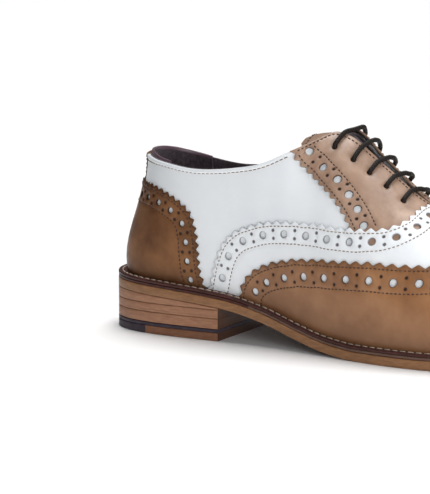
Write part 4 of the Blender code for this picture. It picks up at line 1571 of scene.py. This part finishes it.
def sew(name, lines, finish, pitch=STITCH_PITCH, length=STITCH_LENGTH, radius=THREAD):
    """One mesh with a thread at every stitch of several lines; a line is points and normals."""
    shape, shape_faces = thread_shape(length, radius)
    points, faces, made = [], [], 0
    for line, normals in lines:
        centre, tangent, normal = stitch_places(line, normals, pitch)
        tangent /= np.linalg.norm(tangent, axis=1)[:, None]
        across = np.cross(normal, tangent)
        across /= np.linalg.norm(across, axis=1)[:, None]
        upward = np.cross(tangent, across)
        for c, t, a, n in zip(centre, tangent, across, upward):
            points.append(c + shape @ np.array([t, a, n]))
            faces += [[i + made * len(shape) for i in face] for face in shape_faces]
            made += 1
    mesh = make_mesh(name, np.concatenate(points), faces)
    add_piece(name, mesh, finish, sharp=70.0)
    print(name, made, "stitches")


def seam_on(chart, line, height):
    """A seam in space with its normals; height is above the last, a number or a function."""
    dense = spaced(line * FLAT, 0.6) / FLAT
    inner, share, rise = chart(dense)
    raised = height(inner, share, rise) if callable(height) else height
    return on_upper(inner, share, rise, raised), face_normal(inner, share, rise)


def thread(name, light, deep):
    finish = Finish(name, Roughness=0.62)
    twist = finish.noise(900.0, 2.0)
    finish.paint(finish.mix(finish.spread(twist, 0.35, 0.65), light, deep))
    finish.relief(twist, 0.3, 0.1)
    return finish.material


print("points of a stitch:", len(thread_shape(STITCH_LENGTH, THREAD)[0]))

# %% [markdown]
# ## Seams
# The overlays are sewn with brown thread, the white vamp and the topline with a finer straw one, and
# the sole with a thick cream one. A texture of dashes would be cheaper, but it would not catch the
# light or follow the bends of a seam, and a thread that lies in its groove does both.

# %% Sew the seams
BROWN_THREAD = thread("brown thread", tone(78, 48, 32), tone(52, 30, 20))
STRAW_THREAD = thread("straw thread", tone(138, 120, 98), tone(104, 88, 68))
CREAM_THREAD = thread("cream thread", tone(200, 181, 164), tone(154, 133, 118))

for label, (chart, seams, seat, lift) in PANEL_SEAMS.items():
    colour, radius = (STRAW_THREAD, FINE_THREAD) if label == "vamp" else (BROWN_THREAD, THREAD)

    def surface(inner, share, rise, seat=seat, lift=lift, radius=radius):
        return seat + lift(inner, share, rise) + PANEL - SEAM_DEPTH + radius * THREAD_PROUD

    lines = [seam_on(chart, line, surface) for line in seams]
    sew(f"{label}_stitches", lines, colour, radius=radius)

TOPLINE_SEAM_RISE = 0.967
TOPLINE_SEAM_HEIGHT = 0.20
TOPLINE_PITCH = 2.6
TOPLINE_LENGTH = 2.2
reach = np.linspace(FACING_CORNER - 0.006, STRIP_TOP_HALF + 0.003, 160)
topline_seam = np.column_stack([reach, np.full(len(reach), TOPLINE_SEAM_RISE)])
sew(
    "topline_stitches",
    [seam_on(chart, topline_seam, TOPLINE_SEAM_HEIGHT) for chart in (outer_chart, inner_chart)],
    STRAW_THREAD, TOPLINE_PITCH, TOPLINE_LENGTH, FINE_THREAD,
)

# %% [markdown]
# ## Tongue
# The tongue lies under the facings, bridges the gap between them and stands up as a curled lip at
# the top. It is a grid like the quarters: across it follows the inside of one facing, crosses the
# opening and follows the other, and its free end is lifted and narrowed by a short table.

# %% Tongue
TONGUE_THICKNESS = 1.6
TONGUE_SIDE = 0.80
TONGUE_TOP = 0.473
TONGUE_ROOT = 0.695
TONGUE_BRIDGE = 0.16
TONGUE_FREE = 0.32
TONGUE_MIDDLE = 0.995
SOFT_PASSES = 8

# Mm back, mm up, share of the full width
TONGUE_TIP = [
    ("facing top", 0.0, 0.0, 1.00),
    ("neck", 5.0, 1.6, 1.00),
    ("fold", 12.0, 1.2, 0.96),
    ("curl", 18.0, 0.3, 0.80),
    ("tip", 24.0, -2.0, 0.40),
]
tip_rise = smooth([r[1] for r in TONGUE_TIP], [r[2] for r in TONGUE_TIP])
tip_width = smooth([r[1] for r in TONGUE_TIP], [r[3] for r in TONGUE_TIP])
tongue_depth = smooth((TONGUE_TOP, TONGUE_ROOT), (-(WALL + 1.3), -(WALL + 2.4)))


def tongue_point(across, way, deeper=0.0):
    """A spot of the tongue: across from -1 to 1, way from the tip (0) to the root (1)."""
    back = TONGUE_TIP[-1][1] * np.clip(1 - way / TONGUE_FREE, 0, 1)
    down = np.clip((way - TONGUE_FREE) / (1 - TONGUE_FREE), 0, 1)
    share = TONGUE_TOP + (TONGUE_ROOT - TONGUE_TOP) * down
    reach = across * tip_width(back)
    beyond = np.clip((np.abs(reach) - TONGUE_BRIDGE) / (1 - TONGUE_BRIDGE), 0, 1)
    rise = TONGUE_MIDDLE - beyond * (TONGUE_MIDDLE - TONGUE_SIDE)
    depth = tongue_depth(share) - deeper
    one = on_upper(False, share, rise, depth)
    two = on_upper(True, share, rise, depth)
    mix = np.clip((reach + TONGUE_BRIDGE) / (2 * TONGUE_BRIDGE), 0, 1)[:, None]
    lift = np.column_stack([-back, np.zeros(len(back)), tip_rise(back)])
    return one * (1 - mix) + two * mix + lift


def softened(points):
    """A grid of points with each row and column evened out between its ends."""
    points = points.copy()
    for _ in range(SOFT_PASSES):
        points[:, 1:-1] = (points[:, :-2] + 2 * points[:, 1:-1] + points[:, 2:]) / 4
        points[1:-1] = (points[:-2] + 2 * points[1:-1] + points[2:]) / 4
    return points


uu, vv = np.meshgrid(np.linspace(-1, 1, 41), np.linspace(0, 1, 61))
tongue_top, tongue_under = (
    softened(tongue_point(uu.ravel(), vv.ravel(), deeper).reshape(*uu.shape, 3))
    for deeper in (0.0, TONGUE_THICKNESS)
)
tongue_rows = np.concatenate([tongue_top, tongue_under[:, ::-1]], axis=1)
tongue = make_mesh(
    "tongue_leather", *skin(tongue_rows, around=True), close=True,
    values={"burnish_and_shade": np.zeros(2 * uu.size)},
)
add_piece("tongue_leather", tongue, FACING, ["tongue"])


def tongue_seam(across, way):
    line = tongue_point(across, way)
    aside = tongue_point(across, np.clip(way + 0.01, 0, 1)) - tongue_point(across, way - 0.01)
    cross = tongue_point(across + 0.01, way) - tongue_point(across - 0.01, way)
    normal = np.cross(aside, cross)
    normal *= np.sign(normal[:, 2:])
    return line, normal / np.linalg.norm(normal, axis=1)[:, None]


SEAM_SIDE = 0.86
SEAM_TOP = 0.055
SEAM_END = 0.3
up_side, over_top = np.linspace(SEAM_END, SEAM_TOP, 40), np.linspace(-SEAM_SIDE, SEAM_SIDE, 60)
seam_across = np.concatenate([np.full(40, -SEAM_SIDE), over_top, np.full(40, SEAM_SIDE)])
seam_way = np.concatenate([up_side, np.full(60, SEAM_TOP), up_side[::-1]])
sew("tongue_stitches", [tongue_seam(seam_across, seam_way)], BROWN_THREAD)

# %% [markdown]
# ## Cord
# The lace is a waxed round cord. A bevelled curve would give the same tube, but a mesh tube can also
# carry the two coordinates, along and around, from which its braid is drawn.

# %% Cord and braid
CORD_SIDES = 16
STRAND_TURNS = 3.0
STRANDS_PER_MM = 3.4


def through(knots, count):
    """A smooth open line through knots."""
    knots = np.array(knots, float)
    knots = np.vstack([2 * knots[0] - knots[1], knots, 2 * knots[-1] - knots[-2]])
    pieces = []
    for k in range(1, len(knots) - 2):
        p0, p1, p2, p3 = knots[k - 1 : k + 3]
        f = np.linspace(0, 1, count, endpoint=False)[:, None]
        pieces.append(
            0.5 * (2 * p1 + (p2 - p0) * f + (2 * p0 - 5 * p1 + 4 * p2 - p3) * f**2
                   + (3 * p1 - p0 - 3 * p2 + p3) * f**3)
        )
    return np.vstack([*pieces, knots[-2:-1]])


def tube(line, wide, thin, up):
    """Rings round a line; up is the direction of its thin way."""
    way = np.gradient(line, axis=0)
    way /= np.linalg.norm(way, axis=1)[:, None]
    across = np.cross(way, up)
    across /= np.linalg.norm(across, axis=1)[:, None]
    high = np.cross(across, way)
    angle = np.linspace(0, 2 * np.pi, CORD_SIDES, endpoint=False)
    return (
        line[:, None]
        + across[:, None] * (np.cos(angle) * wide)[None, :, None]
        + high[:, None] * (np.sin(angle) * thin)[None, :, None]
    )


def add_cord(name, line, wide, thin, up, finish, nodes=()):
    rows = tube(line, wide, thin, up)
    run = np.repeat(run_along(line), CORD_SIDES)
    turn = np.tile(np.linspace(0, 1, CORD_SIDES, endpoint=False), len(line))
    mesh = make_mesh(name, *skin(rows, around=True), close=True, values={
        "cord_run": run, "cord_cos": np.cos(2 * np.pi * turn), "cord_sin": np.sin(2 * np.pi * turn),
    })
    add_piece(name, mesh, finish, nodes, sharp=70.0)


def braid(name, light, deep):
    """A waxed braid: two sets of strands that wind round the cord in opposite ways."""
    finish = Finish(name, Roughness=0.62, Specular_IOR_Level=0.2)
    run, cos, sin = (finish.number(key) for key in ("cord_run", "cord_cos", "cord_sin"))
    turn = finish.math("ARCTAN2", sin, cos)
    strands = []
    for hand in (STRAND_TURNS, -STRAND_TURNS):
        climb = finish.math("MULTIPLY", run, STRANDS_PER_MM)
        phase = finish.math("ADD", climb, finish.math("MULTIPLY", turn, hand))
        strands.append(finish.math("SINE", phase, 0.0))
    weave = finish.spread(finish.math("MAXIMUM", *strands), -0.2, 1.0)
    fuzz = finish.noise(1500.0, 3.0)
    finish.paint(finish.mix(finish.math("MULTIPLY", weave, 0.8), deep, light))
    finish.relief(finish.math("ADD", weave, finish.math("MULTIPLY", fuzz, 0.5)), 0.55, 0.25)
    return finish.material


LACE_CORD = braid("lace braid", tone(36, 27, 23), tone(10, 8, 7))
print("cord sides:", CORD_SIDES)

# %% [markdown]
# ## Lace
# The cord runs through five pairs of eyelets. On top it lies in straight bars; below, it crosses
# from one side to the other, flattened between facing and tongue, so it shows only in the slit. A
# bar comes up through its eyelet, bends over, and crosses the slit to the other side.

# %% Thread the lace
LACE = 1.28

# Share of the way from the eyelet to the ridge, and height above the last, at each knot of a bar
BAR_KNOTS = {
    False: [(0.0, -2.6), (0.0, -0.4), (0.01, 1.3), (0.11, 2.4), (0.38, 2.7), (0.70, 2.7)],
    True: [(0.0, -2.6), (0.0, -0.4), (0.02, 1.4), (0.14, 2.8), (0.36, 3.8), (0.66, 4.2), (0.95, 3.7)],
}
# Height of each bar over the slit; a bar runs further round at its crest than at its inner end
BAR_TOPS = [1.6, 3.0, 3.0, 3.2, 2.9]
CREST_LEAN = 2.5
INNER_TURN = 0.4
for k, (share, eyelet_rise) in enumerate(EYELETS):
    lean = CREST_LEAN * INNER_AHEAD[k]
    halves = []
    for inner_side in SIDES:
        ways, heights = np.array(BAR_KNOTS[inner_side]).T
        rises = eyelet_rise + (1 - eyelet_rise) * ways
        shift = 0.5 * lean * ways
        if inner_side:
            shift = INNER_AHEAD[k] + (lean - INNER_AHEAD[k]) * np.minimum(ways / INNER_TURN, 1)
        halves.append(on_upper(inner_side, share + shift, rises, heights))
    crest = np.array([share + 0.75 * lean] * 2)
    ends = last_point(np.array(SIDES), crest, np.ones(2))
    crown = face_normal(np.array(SIDES), crest, np.full(2, 0.98)).mean(axis=0)
    top = ends.mean(axis=0) + crown / np.linalg.norm(crown) * BAR_TOPS[k]
    line = through([*halves[0], top, *halves[1][::-1]], 10)
    forward = on_upper(False, [share + 0.01], [0.9])[0] - on_upper(False, [share - 0.01], [0.9])[0]
    add_cord(f"lace_{k + 1}", line, LACE, LACE, forward, LACE_CORD, [f"lace_bar_{k + 1}"])

UNDER_WIDE = 1.6
UNDER_THIN = 0.5
UNDER_DEPTH = WALL + 0.62
UNDER_BRIDGE = 0.16
f = np.linspace(0, 1, 25)
across = 1 - 2 * f
mix = np.clip(across / UNDER_BRIDGE * 0.5 + 0.5, 0, 1)[:, None]
for k, (first, second) in enumerate(zip(EYELETS, EYELETS[1:])):
    share = first[0] + (second[0] - first[0]) * f
    rise = 1 - np.abs(across) * (1 - np.where(f < 0.5, first[1], second[1]))
    one, two = (on_upper(s, share, rise, -UNDER_DEPTH) for s in SIDES)
    up = on_upper(False, share, 0.98, 1.0) - on_upper(False, share, 0.98, 0.0)
    up[:, 1] = 0.0
    line = one * (1 - mix) + two * mix
    add_cord(f"lace_under_{k + 1}", line, UNDER_WIDE, UNDER_THIN, up, LACE_CORD)

# %% [markdown]
# ## The form of a sole layer
# Under the upper lie the welt, a thin midsole, the outsole and the stacked heel. Each layer is the
# sole's outline between two heights with softly rounded edges. An extruded curve with a bevel would
# come close, but here the heights follow the arch and the toe spring, so each layer is a row of
# rounded sections from heel to toe.

# %% Sole layer helper
ACROSS = np.linspace(0, 1, 9)[1:-1]
STATIONS = 150
END_CROWD = 1.6


def sole_layer(back, front, bottom, top, inset=0.0, soft=0.35):
    """A layer of the sole between two lengths and two heights, as rounded sections."""
    even = np.linspace(0, 1, STATIONS)
    if back is None:
        even = even**END_CROWD if front is not None else 0.5 - 0.5 * np.cos(np.pi * even)
    elif front is None:
        even = 1 - (1 - even) ** END_CROWD
    ends = []
    for side in (OUTER_SIDE, INNER_SIDE):
        start = 0.0 if back is None else side.share_at(back)
        stop = 1.0 if front is None else side.share_at(front)
        ends.append(side.at(start + (stop - start) * even))
    profile = [(soft, 0.0), (0.3 * soft, 0.3 * soft), (0.0, soft)]

    def edge(side, deep, from_bottom, amount):
        place, normal = ends[side]
        plan = place - normal * (inset + deep)
        level = bottom(plan[:, 0]) + amount if from_bottom else top(plan[:, 0]) - amount
        return np.column_stack([plan, level])

    def middle(share, from_bottom):
        low, high = (ends[k][0] - ends[k][1] * (inset + soft) for k in (0, 1))
        plan = low * (1 - share) + high * share
        return np.column_stack([plan, bottom(plan[:, 0]) if from_bottom else top(plan[:, 0])])

    section = [edge(0, d, True, a) for d, a in profile]
    section += [edge(0, d, False, a) for d, a in profile[::-1]]
    section += [middle(f, False) for f in ACROSS]
    section += [edge(1, d, False, a) for d, a in profile]
    section += [edge(1, d, True, a) for d, a in profile[::-1]]
    section += [middle(f, True) for f in ACROSS[::-1]]
    return skin(np.stack(section, axis=1), around=True)


def above_sole(level):
    return lambda x: underside(x) + level


def at_level(level):
    return lambda x: np.full(np.shape(x), float(level))


print("sections to a layer:", STATIONS)

# %% [markdown]
# ## Edges of leather and rubber
# Seen edge-on, sole leather shows level fibres and fine dark lines. A noise stretched along the sole
# gives both and runs round the heel without a seam, which an image could not. The normal tells the
# shader which faces look down; those, and the heel's breast, are darkened: partly a dark finish, and
# partly painted shade where they turn away from the light, under the arch.

# %% Finishes of the sole
FIBRES = 700.0
FINE_LINES = 0.8 * FIBRES
# Dark brown for faces turned down and the heel's breast: partly a finish of the sole, partly painted
# shade
STAIN_AND_SHADE_TONE = tone(56, 33, 22)


def stacked(name, light, deep, line, roughness, coat=0.08, breast=False):
    """Leather seen edge-on: level fibres and fine dark lines; faces turned down, and the breast if asked,
    get a dark finish and painted shade.
    """
    finish = Finish(name, Coat_Weight=coat, Coat_Roughness=0.3, Specular_IOR_Level=0.22)
    fibre = finish.noise(1.0, 5.0, 0.65, finish.stretched(170.0, 170.0, FIBRES))
    blot = finish.spread(finish.noise(26.0, 3.0), 0.35, 0.7)
    thin = finish.noise(1.0, 3.0, 0.5, finish.stretched(10.0, 10.0, FINE_LINES))
    body = finish.mix(finish.spread(fibre, 0.36, 0.66), deep, light)
    body = finish.mix(finish.math("MULTIPLY", blot, 0.5), body, deep)
    body = finish.mix(finish.math("MULTIPLY", finish.spread(thin, 0.62, 0.72), 0.35), body, line)
    facing = finish.node("ShaderNodeNewGeometry", {}).outputs["Normal"]
    facing = finish.node("ShaderNodeSeparateXYZ", {"Vector": facing}).outputs
    # Faces turned down, and a breast facing forward, take the dark brown: painted shade under the arch,
    # partly a dark finish
    shade_and_stain = finish.spread(facing["Z"], -0.5, -0.8)
    if breast:
        shade_and_stain = finish.math("MAXIMUM", shade_and_stain, finish.spread(facing["X"], 0.75, 0.92))
    finish.paint(finish.mix(finish.math("MULTIPLY", shade_and_stain, 0.85), body, STAIN_AND_SHADE_TONE))
    finish.relief(fibre, 0.35, 0.15)
    finish.gloss(finish.spread(fibre, 0.3, 0.7, roughness - 0.06, roughness + 0.08))
    return finish.material


def rubber(name, colour, worn):
    finish = Finish(name, Roughness=0.62)
    dust = finish.noise(180.0, 5.0)
    finish.paint(finish.mix(finish.spread(dust, 0.45, 0.75), colour, worn))
    finish.relief(finish.noise(900.0, 3.0), 0.25, 0.15)
    return finish.material


# Heel pieces also darken the breast, which faces away from the light: painted shade, partly a dark finish
HEEL = {"roughness": 0.5, "coat": 0.02, "breast": True}
OUTSOLE_EDGE = stacked("outsole edge", tone(152, 110, 76), tone(122, 86, 58), tone(84, 58, 40), 0.45)
MIDSOLE_EDGE = stacked("midsole edge", tone(112, 86, 74), tone(86, 64, 55), tone(58, 42, 37), 0.5)
HEEL_LIFT = stacked("heel lift", tone(172, 127, 99), tone(143, 102, 78), tone(96, 64, 48), **HEEL)
TOP_PIECE = stacked("top piece", tone(138, 96, 72), tone(114, 77, 57), tone(80, 53, 40), **HEEL)
WELT_EDGE = stacked("welt", tone(84, 44, 38), tone(50, 25, 22), tone(28, 15, 14), 0.42)
RUBBER = rubber("heel rubber", tone(46, 35, 47), tone(64, 53, 64))
INSOLE = calf("insole calf", tone(112, 84, 74), tone(88, 64, 56), tone(70, 48, 42), 0.6, 0.3, 0.0)
print("sole finishes:", OUTSOLE_EDGE.name, HEEL_LIFT.name, RUBBER.name)

# %% [markdown]
# ## Layers of the sole and heel
# The layers lie on one another with a hair's gap between, which shows as a fine dark line. The
# outsole and what lies on it follow the arch, and the heel's lifts are level, so only the top one is
# a wedge. A row of the table holds all that a layer needs. The insole lies inside the upper.

# %% Build the layers
OUTSOLE = 4.9
WELT_LOW = 6.65
RUBBER_LOW = 4.5
LOWER_LIFT_LOW = 6.5
MIDDLE_LIFT_LOW = 12.2
WEDGE_LOW = 17.1
LAYER_GAP = 0.15
BUTT_GAP = 0.1
BREAST = 77.5
RAND_FRONT = 96.0
TIP_FRONT = 31.0
INSOLE_THICKNESS = 3.0
INSOLE_CLEAR = 0.8
INSOLE_SOFT = 0.6


def lift_between(low, high):
    return at_level(low), at_level(high - LAYER_GAP)


outsole_span = above_sole(0), above_sole(OUTSOLE)
midsole_span = above_sole(OUTSOLE + LAYER_GAP), above_sole(WELT_LOW - LAYER_GAP)
base_span = lift_between(0.0, RUBBER_LOW)
rubber_span = lift_between(RUBBER_LOW, LOWER_LIFT_LOW)
lower_span = lift_between(LOWER_LIFT_LOW, MIDDLE_LIFT_LOW)
middle_span = lift_between(MIDDLE_LIFT_LOW, WEDGE_LOW)
wedge_span = at_level(WEDGE_LOW), above_sole(-LAYER_GAP)

# Piece, CAD node, finish, slot, back and front end (None for the sole's own), heights, inset
SOLE_LAYERS = [
    ("outsole_layer", "outsole", OUTSOLE_EDGE, "sole_leather", None, None, outsole_span, 0.0),
    ("midsole_layer", "midsole", MIDSOLE_EDGE, "midsole_leather",
     RAND_FRONT + BUTT_GAP, None, midsole_span, 0.3),
    ("heel_rand_layer", "heel_rand", WELT_EDGE, "welt_leather",
     None, RAND_FRONT - BUTT_GAP, midsole_span, 0.2),
    ("rubber_tip", "heel_rubber_tip", RUBBER, "heel_rubber", None, TIP_FRONT - BUTT_GAP, base_span, 0.0),
    ("top_piece", "heel_top_piece", TOP_PIECE, "heel_leather",
     TIP_FRONT + BUTT_GAP, BREAST, base_span, 0.0),
    ("rubber_layer", "heel_rubber_layer", RUBBER, "heel_rubber", None, BREAST, rubber_span, 0.0),
    ("lower_lift", "heel_lift_lower", HEEL_LIFT, "heel_leather", None, BREAST, lower_span, 0.0),
    ("middle_lift", "heel_lift_middle", HEEL_LIFT, "heel_leather", None, BREAST, middle_span, 0.0),
    ("wedge_lift", "heel_lift_wedge", HEEL_LIFT, "heel_leather", None, BREAST, wedge_span, 0.0),
]
for name, node, finish, slot, back, front, (bottom, top), inset in SOLE_LAYERS:
    mesh = make_mesh(name, *sole_layer(back, front, bottom, top, inset), weld=0.01, close=True)
    add_piece(name, mesh, finish, [node])
insole_low = SOLE_STACK + FOOT_GAP
sock = make_mesh("insole_sock", *sole_layer(
    None, None, above_sole(insole_low), above_sole(insole_low + INSOLE_THICKNESS),
    WELT_MARGIN + WALL + INSOLE_CLEAR, INSOLE_SOFT,
), weld=0.01)
add_piece("insole_sock", sock, INSOLE, ["insole"])
print("sole layers:", len(SOLE_LAYERS) + 1)

# %% [markdown]
# ## Welt
# The welt is a strip sewn round the foot of the upper. Its top shows as a narrow ledge with a
# groove, and the cream stitches that hold the sole lie in that groove. It is one section swept
# round the whole outline, and its stitches are made by the same helper as the seams.

# %% Welt and its stitches
# Mm in from the sole's outline, mm above the underside
WELT_SECTION = [
    (13.0, 6.65), (0.5, 6.65), (0.15, 6.80), (0.0, 7.15), (0.0, 7.85), (0.15, 8.18), (0.5, 8.30),
    (1.7, 8.30), (2.1, 8.12), (2.7, 8.12), (3.1, 8.30), (13.0, 8.30),
]
WELT_STITCH_INSET = 2.4
WELT_STITCH_LEVEL = 8.36
WELT_STITCH_PITCH = 4.4
WELT_STITCH_LENGTH = 4.0
WELT_THREAD = 0.40


def round_sole(count):
    """Places and outward directions right round the sole, from the heel back."""
    out_share = np.linspace(0, 1, count, endpoint=False)
    in_share = np.linspace(1, 0, count, endpoint=False)
    parts = [side.at(share) for side, share in ((OUTER_SIDE, out_share), (INNER_SIDE, in_share))]
    return [np.vstack([parts[0][k], parts[1][k]]) for k in (0, 1)]


def sole_ring(place, normal, inset, level):
    plan = place - normal * inset
    return np.column_stack([plan, underside(plan[:, 0]) + level])


place, normal = round_sole(220)
welt_rows = np.stack([sole_ring(place, normal, d, z) for d, z in WELT_SECTION], axis=1)
welt_mesh = make_mesh("welt_strip", *skin(welt_rows, around=True, along=True))
add_piece("welt_strip", welt_mesh, WELT_EDGE, ["welt"])
groove = sole_ring(place, normal, WELT_STITCH_INSET, WELT_STITCH_LEVEL)
upright = np.tile([0.0, 0.0, 1.0], (len(groove), 1))
sew(
    "welt_stitches", [(groove, upright)], CREAM_THREAD,
    WELT_STITCH_PITCH, WELT_STITCH_LENGTH, WELT_THREAD,
)
